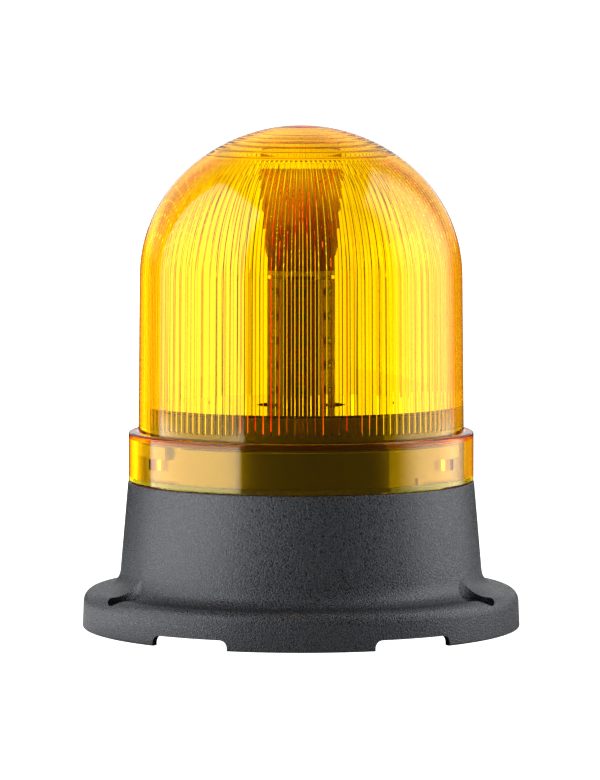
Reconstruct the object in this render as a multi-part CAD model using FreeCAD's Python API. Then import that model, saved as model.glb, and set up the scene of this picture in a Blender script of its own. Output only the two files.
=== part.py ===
import FreeCAD, Part
import math
import os

# Amber signal beacon: a screw-down base, a twist-off ribbed lens and a light tower inside it.
# Millimetres and degrees. +Z is up, the origin is the middle of the mounting face.
# Bearings are counted from the front (-Y) towards the right (+X).

# Base housing
BASE_RADIUS = 80.0
RIM_DRAFT = 2.5
FLANGE_HEIGHT = 13.8
FLANGE_ROUNDING = 4.5
NECK_TOP_RADIUS = 63.2
NECK_DRAFT = 5.0
NECK_ROUNDING = 7.5
SHOULDER_HEIGHT = 53.2
EDGE_ROUNDING = 0.6
HOUSING_WALL = 3.0

# Mounting holes and rim notches
BOLT_CIRCLE_RADIUS = 72.5
BOLT_BEARINGS = (-60, 60, 180)
BOLT_HOLE_RADIUS = 3.2
COUNTERBORE_RADIUS = 6.4
BOLT_PAD_HEIGHT = 4.0
BOSS_WALL = 2.5
NOTCH_BEARINGS = (-150, -30, 30, 150)
NOTCH_WIDTH = 30.5
NOTCH_HEIGHT = 3.8
NOTCH_ROUNDING = 2.7
GUSSET_BEARINGS = (0, 120, 240)
GUSSET_THICKNESS = 2.0
GUSSET_CLEARANCE = 2.0

# Spigot, deck and inner rim that stand on the housing
SPIGOT_RADIUS = 59.6
SPIGOT_HEIGHT = 15.2
SPIGOT_BORE_RADIUS = 55.0
INNER_RIM_RADIUS = 55.4
INNER_RIM_WALL = 2.4
INNER_RIM_HEIGHT = 11.6
DECK_DROP = 5.4
DECK_THICKNESS = 3.0

# Bayonet: lugs in the lens collar run under ledges on the spigot
LUG_BEARINGS = (-60, 60, 180)
LUG_WIDTH = 4.4
LUG_HEIGHT = 4.0
LUG_RISE = 6.3
LUG_REACH = 1.9
LUG_TIP_CLEARANCE = 0.5
LUG_LEDGE_CLEARANCE = 0.3
RECESS_ANGLE = 30.0
ENTRY_ANGLE = 7.5
DETENT_BEARING = -19.0
DETENT_WIDTH = 3.9
DETENT_HEIGHT = 2.5
DETENT_RISE = 2.3
DETENT_DEPTH = 0.8

# Lens
COLLAR_RADIUS = 63.0
COLLAR_HEIGHT = 17.9
COLLAR_ROUNDING = 1.0
COLLAR_FIT = 0.4
COLLAR_ROOF = 2.4
LENS_LIFT = 0.3
LENS_FOOT_RADIUS = 59.4
LENS_WALL = 2.6
DOME_RADIUS = 58.8
DOME_SPRING_HEIGHT = 127.8
DOME_RISE = 55.0
DOME_SHOULDER_RADIUS = 52.5
FLUTE_COUNT = 128
FLUTE_SHARE = 0.6
FLUTE_DEPTH = 0.5
FLUTE_START_HEIGHT = 73.8
SKIRT_RELIEF = 0.3
RING_ZONE_RADIUS = 34.5
RING_PITCH = 3.1
RING_COUNT = 9
RING_SHARE = 0.5
RING_DEPTH = 0.7

# Gasket between lens and base
GASKET_WIDTH = 2.2
GASKET_HEIGHT = 1.8
GASKET_CLEARANCE = 0.3

# Main board and what it carries
SEAT_CLEARANCE = 0.15
BOARD_STANDOFF = 5.0
BOARD_THICKNESS = 1.6
BOARD_EDGE_CLEARANCE = 0.6
POST_RADIUS = 3.6
POST_CIRCLE_RADIUS = 45.0
POST_BEARINGS = (30, 150, 270)
BOARD_SCREW_RADIUS = 1.5
BOARD_SCREW_LENGTH = 5.5
SCREW_HEAD_RADIUS = 2.8
SCREW_HEAD_HEIGHT = 2.0
DRIVE_SLOT_WIDTH = 0.8
DRIVE_SLOT_DEPTH = 0.9

# Cable grommet in the deck
GROMMET_BEARING = 180.0
GROMMET_CIRCLE_RADIUS = 38.0
GROMMET_HOLE_RADIUS = 6.5
GROMMET_LIP = 1.8
GROMMET_LIP_HEIGHT = 1.6
GROMMET_BORE_RADIUS = 4.0

# Terminal block
TERMINAL_BEARING = 118.0
TERMINAL_CIRCLE_RADIUS = 36.0
TERMINAL_POLES = 3
TERMINAL_PITCH = 5.0
TERMINAL_DEPTH = 8.0
TERMINAL_HEIGHT = 9.0
TERMINAL_ROOF_STEP = 2.5
WIRE_ENTRY_RADIUS = 1.6
WIRE_ENTRY_DEPTH = 5.0
TERMINAL_SCREW_RADIUS = 1.5
TERMINAL_SCREW_LENGTH = 3.0

# Other parts on the main board
CAPACITOR_BEARING = 75.0
CAPACITOR_CIRCLE_RADIUS = 36.0
CAPACITOR_RADIUS = 5.0
CAPACITOR_HEIGHT = 9.5
CAPACITOR_GROOVE = 0.5
INDUCTOR_BEARING = 285.0
INDUCTOR_CIRCLE_RADIUS = 36.0
INDUCTOR_RADIUS = 5.5
INDUCTOR_HEIGHT = 8.0
INDUCTOR_FLANGE = 1.4
WINDING_INSET = 0.7
CHIP_BEARING = 0.0
CHIP_CIRCLE_RADIUS = 34.0
CHIP_LENGTH = 9.9
CHIP_DEPTH = 3.9
CHIP_HEIGHT = 1.6
CHIP_LEG_COUNT = 7
CHIP_LEG_PITCH = 1.27
CHIP_LEG_WIDTH = 0.45
CHIP_LEG_REACH = 1.0
CHIP_LEG_THICKNESS = 0.35
RECTIFIER_BEARING = 240.0
RECTIFIER_CIRCLE_RADIUS = 36.0
RECTIFIER_LENGTH = 8.0
RECTIFIER_DEPTH = 6.4
RECTIFIER_HEIGHT = 2.6
RECTIFIER_CHAMFER = 0.8
VARISTOR_BEARING = 210.0
VARISTOR_CIRCLE_RADIUS = 34.0
VARISTOR_RADIUS = 4.2
VARISTOR_THICKNESS = 3.6
VARISTOR_LIFT = 1.2
VARISTOR_LEG_RADIUS = 0.4
VARISTOR_LEG_SPREAD = 2.5

# Light tower
TOWER_FLATS = 19.2
TOWER_FOOT_RADIUS = 19.0
TOWER_FOOT_HEIGHT = 2.5
TOWER_TOP_HEIGHT = 128.4
TOWER_BORE_RADIUS = 3.6
TOWER_SIDES = 6
TOWER_SCREW_CIRCLE_RADIUS = 15.4
TOWER_SCREW_BEARINGS = (30, 150, 270)
LED_BOARD_WIDTH = 10.4
LED_BOARD_THICKNESS = 1.6
LED_BOARD_MARGIN = 1.5
LED_WIDTH = 3.5
LED_LENGTH = 2.8
LED_HEIGHT = 0.9
LED_ROWS = 6
TOP_BOARD_RADIUS = 12.2
TOP_BOARD_THICKNESS = 1.6
TOP_LED_CIRCLE_RADIUS = 8.8
TOP_LED_COUNT = 6
TOP_SCREW_RADIUS = 1.2
TOP_SCREW_HEAD_RADIUS = 2.0
TOP_SCREW_HEAD_HEIGHT = 1.2
TOP_SCREW_LENGTH = 6.0
LEAD_RADIUS = 0.7
LEAD_SPREAD = 1.6

# Cover over the main board
COVER_RADIUS = 54.6
COVER_HOLE_RADIUS = 16.0
COVER_THICKNESS = 0.9

# Light guide on the tower
GUIDE_CROWN_GAP = 15.8
GUIDE_TOP_RADIUS = 15.2
GUIDE_FOOT_WIDTH = 1.2
GUIDE_HEADROOM = 0.6
GUIDE_ROUNDING = 1.0

# Heights and radii that follow from the driving dimensions
ORIGIN = FreeCAD.Vector(0, 0, 0)
UP = FreeCAD.Vector(0, 0, 1)
SPIGOT_TOP = SHOULDER_HEIGHT + SPIGOT_HEIGHT
INNER_RIM_TOP = SPIGOT_TOP + INNER_RIM_HEIGHT
DECK_TOP = SPIGOT_TOP - DECK_DROP
DECK_UNDERSIDE = DECK_TOP - DECK_THICKNESS
BOARD_UNDERSIDE = DECK_TOP + BOARD_STANDOFF
BOARD_TOP = BOARD_UNDERSIDE + BOARD_THICKNESS
BOARD_RADIUS = INNER_RIM_RADIUS - INNER_RIM_WALL - BOARD_EDGE_CLEARANCE
TOWER_FOOT_TOP = BOARD_TOP + TOWER_FOOT_HEIGHT
LENS_BOTTOM = SHOULDER_HEIGHT + LENS_LIFT
COLLAR_TOP = LENS_BOTTOM + COLLAR_HEIGHT
COLLAR_BORE_RADIUS = SPIGOT_RADIUS + COLLAR_FIT
LUG_BOTTOM = SHOULDER_HEIGHT + LUG_RISE
LUG_TOP = LUG_BOTTOM + LUG_HEIGHT
LUG_TIP_RADIUS = COLLAR_BORE_RADIUS - LUG_REACH
RECESS_RADIUS = LUG_TIP_RADIUS - LUG_TIP_CLEARANCE
LEDGE_BOTTOM = LUG_TOP + LUG_LEDGE_CLEARANCE
GASKET_INNER_RADIUS = SPIGOT_RADIUS + SEAT_CLEARANCE
GASKET_OUTER_RADIUS = GASKET_INNER_RADIUS + GASKET_WIDTH
CROWN_RADIUS = (
    (DOME_RADIUS - DOME_SHOULDER_RADIUS) ** 2 + DOME_RISE ** 2 - DOME_SHOULDER_RADIUS ** 2
) / (2 * (DOME_RISE - DOME_SHOULDER_RADIUS))
LENS_TOP = DOME_SPRING_HEIGHT + DOME_RISE
CROWN_CENTRE_HEIGHT = LENS_TOP - CROWN_RADIUS
GUIDE_SEAT = TOWER_TOP_HEIGHT + TOP_BOARD_THICKNESS
GUIDE_HEIGHT = LENS_TOP - GUIDE_CROWN_GAP - GUIDE_SEAT
CROWN_ANGLE = math.atan2(
    DOME_SPRING_HEIGHT - CROWN_CENTRE_HEIGHT, DOME_RADIUS - DOME_SHOULDER_RADIUS
)
CREST_INSET = LENS_WALL + FLUTE_DEPTH


def section_point(radius, height):
    """Point of a section drawn in the half plane that is turned about the axis."""
    return FreeCAD.Vector(radius, 0, height)


def bearing_point(radius, bearing, height=0.0):
    """Point at a radius and bearing, with bearing 0 at the front."""
    angle = math.radians(bearing)
    return FreeCAD.Vector(radius * math.sin(angle), -radius * math.cos(angle), height)


def turned(shape, bearing):
    """Copy of a shape modelled at the front, turned to a bearing."""
    copy = shape.copy()
    copy.rotate(ORIGIN, UP, bearing)
    return copy


def pattern(shape, bearings):
    """Copies of a shape modelled at the front, one at each bearing."""
    return [turned(shape, bearing) for bearing in bearings]


def rounded_path(corners):
    """Edges through (radius, height, rounding) corners, with the inner corners rounded."""
    points = [section_point(radius, height) for radius, height, _ in corners]
    edges = []
    start = points[0]
    for index in range(1, len(corners) - 1):
        corner = points[index]
        rounding = corners[index][2]
        if rounding:
            back = (points[index - 1] - corner).normalize()
            ahead = (points[index + 1] - corner).normalize()
            half = back.getAngle(ahead) / 2
            arc_start = corner + back * (rounding / math.tan(half))
            arc_end = corner + ahead * (rounding / math.tan(half))
            inward = (back + ahead).normalize()
            arc_middle = corner + inward * (rounding / math.sin(half) - rounding)
            edges.append(Part.makeLine(start, arc_start))
            edges.append(Part.Arc(arc_start, arc_middle, arc_end).toShape())
            start = arc_end
        else:
            edges.append(Part.makeLine(start, corner))
            start = corner
    edges.append(Part.makeLine(start, points[-1]))
    return edges


def revolved(edges, angle=360.0):
    """Solid turned about the axis from a closed section, centred on the front."""
    face = Part.Face(Part.Wire(Part.__sortEdges__(edges)))
    solid = face.revolve(ORIGIN, UP, angle)
    solid.rotate(ORIGIN, UP, -90 - angle / 2)
    return solid


def turned_section(corners, angle=360.0):
    """Solid turned about the axis from a closed list of (radius, height, rounding) corners."""
    return revolved(rounded_path(corners + [corners[0]]), angle)


def sector(inner, outer, bottom, top, angle):
    """Part of a ring, centred on the front."""
    corners = [(inner, bottom, 0), (outer, bottom, 0), (outer, top, 0), (inner, top, 0)]
    return turned_section(corners, angle)


def block(width, depth, height, radius, bottom):
    """Box at the front: its middle at a radius, its underside at a height."""
    corner = FreeCAD.Vector(-width / 2, -radius - depth / 2, bottom)
    return Part.makeBox(width, depth, height, corner)


def post(radius, height, circle, bottom):
    """Upright cylinder at the front of a circle."""
    return Part.makeCylinder(radius, height, bearing_point(circle, 0, bottom))


def slotted_screw(shank_radius, shank_length, head_radius, head_height, circle, seat):
    """Pan-head screw at the front of a circle, its head on the seat."""
    head = post(head_radius, head_height, circle, seat)
    rim = [edge for edge in head.Edges if edge.BoundBox.ZMin > seat + head_height / 2]
    head = head.makeFillet(head_height / 3, rim[:1])
    shank = post(shank_radius, shank_length, circle, seat - shank_length)
    slot = block(
        2 * head_radius, DRIVE_SLOT_WIDTH, DRIVE_SLOT_DEPTH,
        circle, seat + head_height - DRIVE_SLOT_DEPTH,
    )
    return head.fuse(shank).cut(slot)


def neck_radius(height):
    """Outside of the tapered neck at a height."""
    return NECK_TOP_RADIUS + (SHOULDER_HEIGHT - height) * math.tan(math.radians(NECK_DRAFT))


def rim_radius(height):
    """Outside of the flange's rim at a height."""
    return BASE_RADIUS - height * math.tan(math.radians(RIM_DRAFT))


def housing_outside():
    """Turned outside of the base: flange, neck, shoulder, spigot and inner rim."""
    return turned_section([
        (0, 0, 0),
        (BASE_RADIUS, 0, EDGE_ROUNDING),
        (rim_radius(FLANGE_HEIGHT), FLANGE_HEIGHT, FLANGE_ROUNDING),
        (neck_radius(FLANGE_HEIGHT), FLANGE_HEIGHT, NECK_ROUNDING),
        (NECK_TOP_RADIUS, SHOULDER_HEIGHT, EDGE_ROUNDING),
        (SPIGOT_RADIUS, SHOULDER_HEIGHT, 0),
        (SPIGOT_RADIUS, SPIGOT_TOP, EDGE_ROUNDING),
        (INNER_RIM_RADIUS, SPIGOT_TOP, 0),
        (INNER_RIM_RADIUS, INNER_RIM_TOP, EDGE_ROUNDING),
        (0, INNER_RIM_TOP, 0),
    ])


def housing_cavity():
    """Space under the base, less the screw bosses and gussets that stand in it."""
    roof = FLANGE_HEIGHT - HOUSING_WALL
    step = SHOULDER_HEIGHT - HOUSING_WALL
    cavity = turned_section([
        (0, 0, 0),
        (rim_radius(0) - HOUSING_WALL, 0, 0),
        (rim_radius(roof) - HOUSING_WALL, roof, HOUSING_WALL / 2),
        (neck_radius(roof) - HOUSING_WALL, roof, HOUSING_WALL / 2),
        (neck_radius(step) - HOUSING_WALL, step, HOUSING_WALL / 2),
        (SPIGOT_BORE_RADIUS, step, 0),
        (SPIGOT_BORE_RADIUS, DECK_UNDERSIDE, HOUSING_WALL / 2),
        (0, DECK_UNDERSIDE, 0),
    ])
    boss = post(COUNTERBORE_RADIUS + BOSS_WALL, FLANGE_HEIGHT, BOLT_CIRCLE_RADIUS, 0)
    gusset_inner = neck_radius(roof) - 2 * HOUSING_WALL
    gusset = block(
        GUSSET_THICKNESS, BASE_RADIUS - gusset_inner, FLANGE_HEIGHT - GUSSET_CLEARANCE,
        (BASE_RADIUS + gusset_inner) / 2, GUSSET_CLEARANCE,
    )
    stays = pattern(boss, BOLT_BEARINGS) + pattern(gusset, GUSSET_BEARINGS)
    return cavity.cut(stays)


def rim_notch():
    """Cable and drain notch in the rim at the front, with rounded upper corners."""
    half = NOTCH_WIDTH / 2
    edges = rounded_path([
        (-half, -NOTCH_HEIGHT, 0),
        (-half, NOTCH_HEIGHT, NOTCH_ROUNDING),
        (half, NOTCH_HEIGHT, NOTCH_ROUNDING),
        (half, -NOTCH_HEIGHT, 0),
        (-half, -NOTCH_HEIGHT, 0),
    ])
    face = Part.Face(Part.Wire(edges))
    notch = face.extrude(FreeCAD.Vector(0, BASE_RADIUS - SPIGOT_RADIUS, 0))
    notch.translate(FreeCAD.Vector(0, -BASE_RADIUS, 0))
    return notch


def bayonet_recess():
    """Room for a lens lug on the spigot: a sector under a ledge, open upwards at its entry end."""
    recess = sector(RECESS_RADIUS, COLLAR_BORE_RADIUS, SHOULDER_HEIGHT, LEDGE_BOTTOM, RECESS_ANGLE)
    entry = sector(RECESS_RADIUS, COLLAR_BORE_RADIUS, SHOULDER_HEIGHT, SPIGOT_TOP, ENTRY_ANGLE)
    return recess.fuse(turned(entry, (RECESS_ANGLE - ENTRY_ANGLE) / 2))


def detent_pocket():
    """Shallow pocket in the spigot beside a recess."""
    angle = math.degrees(DETENT_WIDTH / SPIGOT_RADIUS)
    bottom = SHOULDER_HEIGHT + DETENT_RISE
    pocket = sector(
        SPIGOT_RADIUS - DETENT_DEPTH, COLLAR_BORE_RADIUS, bottom, bottom + DETENT_HEIGHT, angle
    )
    return turned(pocket, DETENT_BEARING)


def base_housing():
    """Moulded housing: hollow base, mounting flange, bayonet spigot, deck and board posts."""
    well = turned_section([
        (0, DECK_TOP, 0),
        (INNER_RIM_RADIUS - INNER_RIM_WALL, DECK_TOP, EDGE_ROUNDING),
        (INNER_RIM_RADIUS - INNER_RIM_WALL, INNER_RIM_TOP, 0),
        (0, INNER_RIM_TOP, 0),
    ])
    board_post = post(POST_RADIUS, BOARD_STANDOFF, POST_CIRCLE_RADIUS, DECK_TOP)
    well = well.cut(pattern(board_post, POST_BEARINGS))
    solid = housing_outside().cut([housing_cavity(), well])
    hole = post(BOLT_HOLE_RADIUS, BOLT_PAD_HEIGHT, BOLT_CIRCLE_RADIUS, 0)
    counterbore = post(
        COUNTERBORE_RADIUS, SHOULDER_HEIGHT - BOLT_PAD_HEIGHT, BOLT_CIRCLE_RADIUS, BOLT_PAD_HEIGHT
    )
    pilot = post(
        BOARD_SCREW_RADIUS + SEAT_CLEARANCE, BOARD_SCREW_LENGTH,
        POST_CIRCLE_RADIUS, BOARD_UNDERSIDE - BOARD_SCREW_LENGTH,
    )
    grommet_hole = post(GROMMET_HOLE_RADIUS, DECK_THICKNESS, GROMMET_CIRCLE_RADIUS, DECK_UNDERSIDE)
    cuts = pattern(hole.fuse(counterbore), BOLT_BEARINGS)
    cuts += pattern(rim_notch(), NOTCH_BEARINGS)
    cuts += pattern(bayonet_recess(), LUG_BEARINGS)
    cuts += pattern(detent_pocket(), LUG_BEARINGS)
    cuts += pattern(pilot, POST_BEARINGS)
    cuts.append(turned(grommet_hole, GROMMET_BEARING))
    return solid.cut(cuts)


def cable_grommet():
    """Rubber ring in the deck, gripping it between two lips."""
    waist = GROMMET_HOLE_RADIUS - SEAT_CLEARANCE
    lip = GROMMET_HOLE_RADIUS + GROMMET_LIP
    ring = turned_section([
        (GROMMET_BORE_RADIUS, DECK_UNDERSIDE - GROMMET_LIP_HEIGHT, 0),
        (lip, DECK_UNDERSIDE - GROMMET_LIP_HEIGHT, GROMMET_LIP_HEIGHT / 2),
        (lip, DECK_UNDERSIDE, 0),
        (waist, DECK_UNDERSIDE, 0),
        (waist, DECK_TOP, 0),
        (lip, DECK_TOP, 0),
        (lip, DECK_TOP + GROMMET_LIP_HEIGHT, GROMMET_LIP_HEIGHT / 2),
        (GROMMET_BORE_RADIUS, DECK_TOP + GROMMET_LIP_HEIGHT, 0),
    ])
    ring.translate(bearing_point(GROMMET_CIRCLE_RADIUS, GROMMET_BEARING))
    return ring


def lens_gasket():
    """Flat seal on the shoulder, round the foot of the spigot."""
    return sector(
        GASKET_INNER_RADIUS, GASKET_OUTER_RADIUS,
        SHOULDER_HEIGHT, SHOULDER_HEIGHT + GASKET_HEIGHT, 360.0,
    )


def lens_wall_radius(height):
    """Outside of the lens wall between its collar and the dome."""
    lean = (LENS_FOOT_RADIUS - DOME_RADIUS) / (DOME_SPRING_HEIGHT - COLLAR_TOP)
    return LENS_FOOT_RADIUS - (height - COLLAR_TOP) * lean


def crown_height(radius, inset):
    """Height of the crown at a radius, on the surface that lies inset under its outside."""
    return CROWN_CENTRE_HEIGHT + math.sqrt((CROWN_RADIUS - inset) ** 2 - radius ** 2)


def arc_about(centre_radius, centre_height, radius, start, end):
    """Arc of a section about a centre, between two angles from the horizontal."""
    middle = (start + end) / 2
    points = [
        section_point(
            centre_radius + radius * math.cos(angle), centre_height + radius * math.sin(angle)
        )
        for angle in (start, middle, end)
    ]
    return Part.Arc(*points).toShape()


def lens_meridian(inset, bottom, end_radius):
    """Edges of the lens section, inset under its outside, from a height up to a radius."""
    spring = section_point(DOME_RADIUS - inset, DOME_SPRING_HEIGHT)
    end_angle = math.acos(end_radius / (CROWN_RADIUS - inset))
    wall = Part.makeLine(section_point(lens_wall_radius(bottom) - inset, bottom), spring)
    shoulder = arc_about(
        DOME_RADIUS - DOME_SHOULDER_RADIUS, DOME_SPRING_HEIGHT,
        DOME_SHOULDER_RADIUS - inset, 0, CROWN_ANGLE,
    )
    crown = arc_about(0, CROWN_CENTRE_HEIGHT, CROWN_RADIUS - inset, CROWN_ANGLE, end_angle)
    return [wall, shoulder, crown]


def lens_blank():
    """Lens before its flutes: collar, wall and dome, with the rib crests as its inside."""
    skirt = lens_wall_radius(FLUTE_START_HEIGHT) - LENS_WALL + SKIRT_RELIEF
    roof = COLLAR_TOP - COLLAR_ROOF
    rebate_radius = GASKET_OUTER_RADIUS + GASKET_CLEARANCE
    rebate_top = SHOULDER_HEIGHT + GASKET_HEIGHT + GASKET_CLEARANCE
    apex = crown_height(0, 0)
    inner_apex = crown_height(0, CREST_INSET)
    collar_outside = rounded_path([
        (rebate_radius, LENS_BOTTOM, 0),
        (COLLAR_RADIUS, LENS_BOTTOM, 0),
        (COLLAR_RADIUS, COLLAR_TOP, COLLAR_ROUNDING),
        (lens_wall_radius(COLLAR_TOP), COLLAR_TOP, 0),
    ])
    collar_inside = rounded_path([
        (lens_wall_radius(FLUTE_START_HEIGHT) - CREST_INSET, FLUTE_START_HEIGHT, 0),
        (skirt, FLUTE_START_HEIGHT, 0),
        (skirt, roof, 0),
        (COLLAR_BORE_RADIUS, roof, 0),
        (COLLAR_BORE_RADIUS, rebate_top, 0),
        (rebate_radius, rebate_top, 0),
        (rebate_radius, LENS_BOTTOM, 0),
    ])
    axis = Part.makeLine(section_point(0, apex), section_point(0, inner_apex))
    outside = lens_meridian(0, COLLAR_TOP, 0)
    inside = lens_meridian(CREST_INSET, FLUTE_START_HEIGHT, 0)
    return revolved(collar_outside + outside + [axis] + inside + collar_inside)


def flute_cut():
    """Cutter of one flute at the front: the band between rib foot and a little past the rib crest."""
    spare = FLUTE_DEPTH
    bottom = FLUTE_START_HEIGHT - spare
    end_radius = RING_ZONE_RADIUS - RING_PITCH * RING_SHARE / 2
    foot = lens_meridian(LENS_WALL, bottom, end_radius)
    free = lens_meridian(CREST_INSET + spare, bottom, end_radius)
    lower = Part.makeLine(free[0].Vertexes[0].Point, foot[0].Vertexes[0].Point)
    upper = Part.makeLine(
        section_point(end_radius, crown_height(end_radius, LENS_WALL)),
        section_point(end_radius, crown_height(end_radius, CREST_INSET + spare)),
    )
    return revolved(foot + free + [lower, upper], 360.0 / FLUTE_COUNT * FLUTE_SHARE)


def ring_cuts():
    """Concentric grooves inside the crown, from the end of the flutes to the middle."""
    cuts = []
    inset = CREST_INSET - RING_DEPTH
    for index in range(RING_COUNT):
        outer = RING_ZONE_RADIUS - index * RING_PITCH
        inner = outer - RING_PITCH * RING_SHARE
        bottom = crown_height(outer, CREST_INSET + RING_DEPTH)
        cuts.append(turned_section([
            (inner, bottom, 0),
            (outer, bottom, 0),
            (outer, crown_height(outer, inset), 0),
            (inner, crown_height(inner, inset), 0),
        ]))
    return cuts


def lens():
    """Amber lens: collar with bayonet lugs, fluted wall and a crown with ring ridges."""
    step = 360.0 / FLUTE_COUNT
    flutes = pattern(flute_cut(), [(index + 0.5) * step for index in range(FLUTE_COUNT)])
    solid = lens_blank().cut(flutes + ring_cuts())
    lug_angle = math.degrees(LUG_WIDTH / LUG_TIP_RADIUS)
    root = (COLLAR_BORE_RADIUS + COLLAR_RADIUS) / 2
    lug = sector(LUG_TIP_RADIUS, root, LUG_BOTTOM, LUG_TOP, lug_angle)
    return solid.fuse(pattern(lug, LUG_BEARINGS))


def main_board():
    """Round circuit board on the posts, with its screw holes and the cable's way through."""
    board = Part.makeCylinder(BOARD_RADIUS, BOARD_THICKNESS, FreeCAD.Vector(0, 0, BOARD_UNDERSIDE))
    hole = post(
        BOARD_SCREW_RADIUS + SEAT_CLEARANCE, BOARD_THICKNESS, POST_CIRCLE_RADIUS, BOARD_UNDERSIDE
    )
    tower_hole = post(
        BOARD_SCREW_RADIUS + SEAT_CLEARANCE, BOARD_THICKNESS,
        TOWER_SCREW_CIRCLE_RADIUS, BOARD_UNDERSIDE,
    )
    way = post(GROMMET_HOLE_RADIUS, BOARD_THICKNESS, GROMMET_CIRCLE_RADIUS, BOARD_UNDERSIDE)
    cuts = pattern(hole, POST_BEARINGS) + pattern(tower_hole, TOWER_SCREW_BEARINGS)
    cuts.append(turned(way, GROMMET_BEARING))
    return board.cut(cuts)


def board_screws():
    """Screws that hold the main board to its posts."""
    screw = slotted_screw(
        BOARD_SCREW_RADIUS, BOARD_SCREW_LENGTH, SCREW_HEAD_RADIUS, SCREW_HEAD_HEIGHT,
        POST_CIRCLE_RADIUS, BOARD_TOP,
    )
    return Part.makeCompound(pattern(screw, POST_BEARINGS))


def terminal_places():
    """Offsets of the terminal block's poles along its length."""
    middle = (TERMINAL_POLES - 1) / 2
    return [(index - middle) * TERMINAL_PITCH for index in range(TERMINAL_POLES)]


def terminal_block():
    """Screw terminal block with a stepped roof, wire entries and screw wells."""
    length = TERMINAL_POLES * TERMINAL_PITCH
    body = block(length, TERMINAL_DEPTH, TERMINAL_HEIGHT, TERMINAL_CIRCLE_RADIUS, BOARD_TOP)
    front = TERMINAL_CIRCLE_RADIUS + TERMINAL_DEPTH / 2
    roof = BOARD_TOP + TERMINAL_HEIGHT
    step = block(
        length, TERMINAL_ROOF_STEP, TERMINAL_ROOF_STEP,
        front - TERMINAL_ROOF_STEP / 2, roof - TERMINAL_ROOF_STEP,
    )
    cuts = [step]
    for offset in terminal_places():
        entry_start = FreeCAD.Vector(offset, -front, BOARD_TOP + TERMINAL_HEIGHT / 3)
        cuts.append(
            Part.makeCylinder(WIRE_ENTRY_RADIUS, WIRE_ENTRY_DEPTH, entry_start, FreeCAD.Vector(0, 1, 0))
        )
        well_start = FreeCAD.Vector(offset, -TERMINAL_CIRCLE_RADIUS, roof - TERMINAL_SCREW_LENGTH)
        well = Part.makeCylinder(
            TERMINAL_SCREW_RADIUS + SEAT_CLEARANCE, TERMINAL_SCREW_LENGTH, well_start
        )
        cuts.append(well)
    return turned(body.cut(cuts), TERMINAL_BEARING)


def terminal_screws():
    """Slotted clamping screws in the terminal block's wells."""
    bottom = BOARD_TOP + TERMINAL_HEIGHT - TERMINAL_SCREW_LENGTH
    height = TERMINAL_SCREW_LENGTH - DRIVE_SLOT_DEPTH / 2
    screw = post(TERMINAL_SCREW_RADIUS, height, TERMINAL_CIRCLE_RADIUS, bottom)
    slot = block(
        2 * TERMINAL_SCREW_RADIUS, DRIVE_SLOT_WIDTH, DRIVE_SLOT_DEPTH,
        TERMINAL_CIRCLE_RADIUS, bottom + height - DRIVE_SLOT_DEPTH,
    )
    screw = screw.cut(slot)
    screws = []
    for offset in terminal_places():
        copy = screw.copy()
        copy.translate(FreeCAD.Vector(offset, 0, 0))
        screws.append(turned(copy, TERMINAL_BEARING))
    return Part.makeCompound(screws)


def capacitor():
    """Upright can capacitor with a crimp groove."""
    crimp = BOARD_TOP + CAPACITOR_HEIGHT / 5
    can = turned_section([
        (0, BOARD_TOP, 0),
        (CAPACITOR_RADIUS, BOARD_TOP, 0),
        (CAPACITOR_RADIUS, crimp - CAPACITOR_GROOVE, 0),
        (CAPACITOR_RADIUS - CAPACITOR_GROOVE, crimp, 0),
        (CAPACITOR_RADIUS, crimp + CAPACITOR_GROOVE, 0),
        (CAPACITOR_RADIUS, BOARD_TOP + CAPACITOR_HEIGHT, CAPACITOR_GROOVE),
        (0, BOARD_TOP + CAPACITOR_HEIGHT, 0),
    ])
    can.translate(bearing_point(CAPACITOR_CIRCLE_RADIUS, CAPACITOR_BEARING))
    return can


def inductor():
    """Drum-core inductor: two flanges with a winding between them."""
    top = BOARD_TOP + INDUCTOR_HEIGHT
    winding = INDUCTOR_RADIUS - WINDING_INSET
    drum = turned_section([
        (0, BOARD_TOP, 0),
        (INDUCTOR_RADIUS, BOARD_TOP, 0),
        (INDUCTOR_RADIUS, BOARD_TOP + INDUCTOR_FLANGE, 0),
        (winding, BOARD_TOP + INDUCTOR_FLANGE, 0),
        (winding, top - INDUCTOR_FLANGE, 0),
        (INDUCTOR_RADIUS, top - INDUCTOR_FLANGE, 0),
        (INDUCTOR_RADIUS, top, 0),
        (0, top, 0),
    ])
    drum.translate(bearing_point(INDUCTOR_CIRCLE_RADIUS, INDUCTOR_BEARING))
    return drum


def driver_chip():
    """Flat driver circuit with a row of legs along each side."""
    body = block(CHIP_LENGTH, CHIP_DEPTH, CHIP_HEIGHT, CHIP_CIRCLE_RADIUS, BOARD_TOP)
    legs = []
    middle = (CHIP_LEG_COUNT - 1) / 2
    for index in range(CHIP_LEG_COUNT):
        leg = block(
            CHIP_LEG_WIDTH, CHIP_DEPTH + 2 * CHIP_LEG_REACH, CHIP_LEG_THICKNESS,
            CHIP_CIRCLE_RADIUS, BOARD_TOP,
        )
        leg.translate(FreeCAD.Vector((index - middle) * CHIP_LEG_PITCH, 0, 0))
        legs.append(leg)
    return turned(body.fuse(legs), CHIP_BEARING)


def rectifier():
    """Moulded bridge rectifier with bevelled upper edges."""
    body = block(RECTIFIER_LENGTH, RECTIFIER_DEPTH, RECTIFIER_HEIGHT, RECTIFIER_CIRCLE_RADIUS, BOARD_TOP)
    middle = BOARD_TOP + RECTIFIER_HEIGHT / 2
    upper = [edge for edge in body.Edges if edge.BoundBox.ZMin > middle]
    return turned(body.makeChamfer(RECTIFIER_CHAMFER, upper), RECTIFIER_BEARING)


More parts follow.
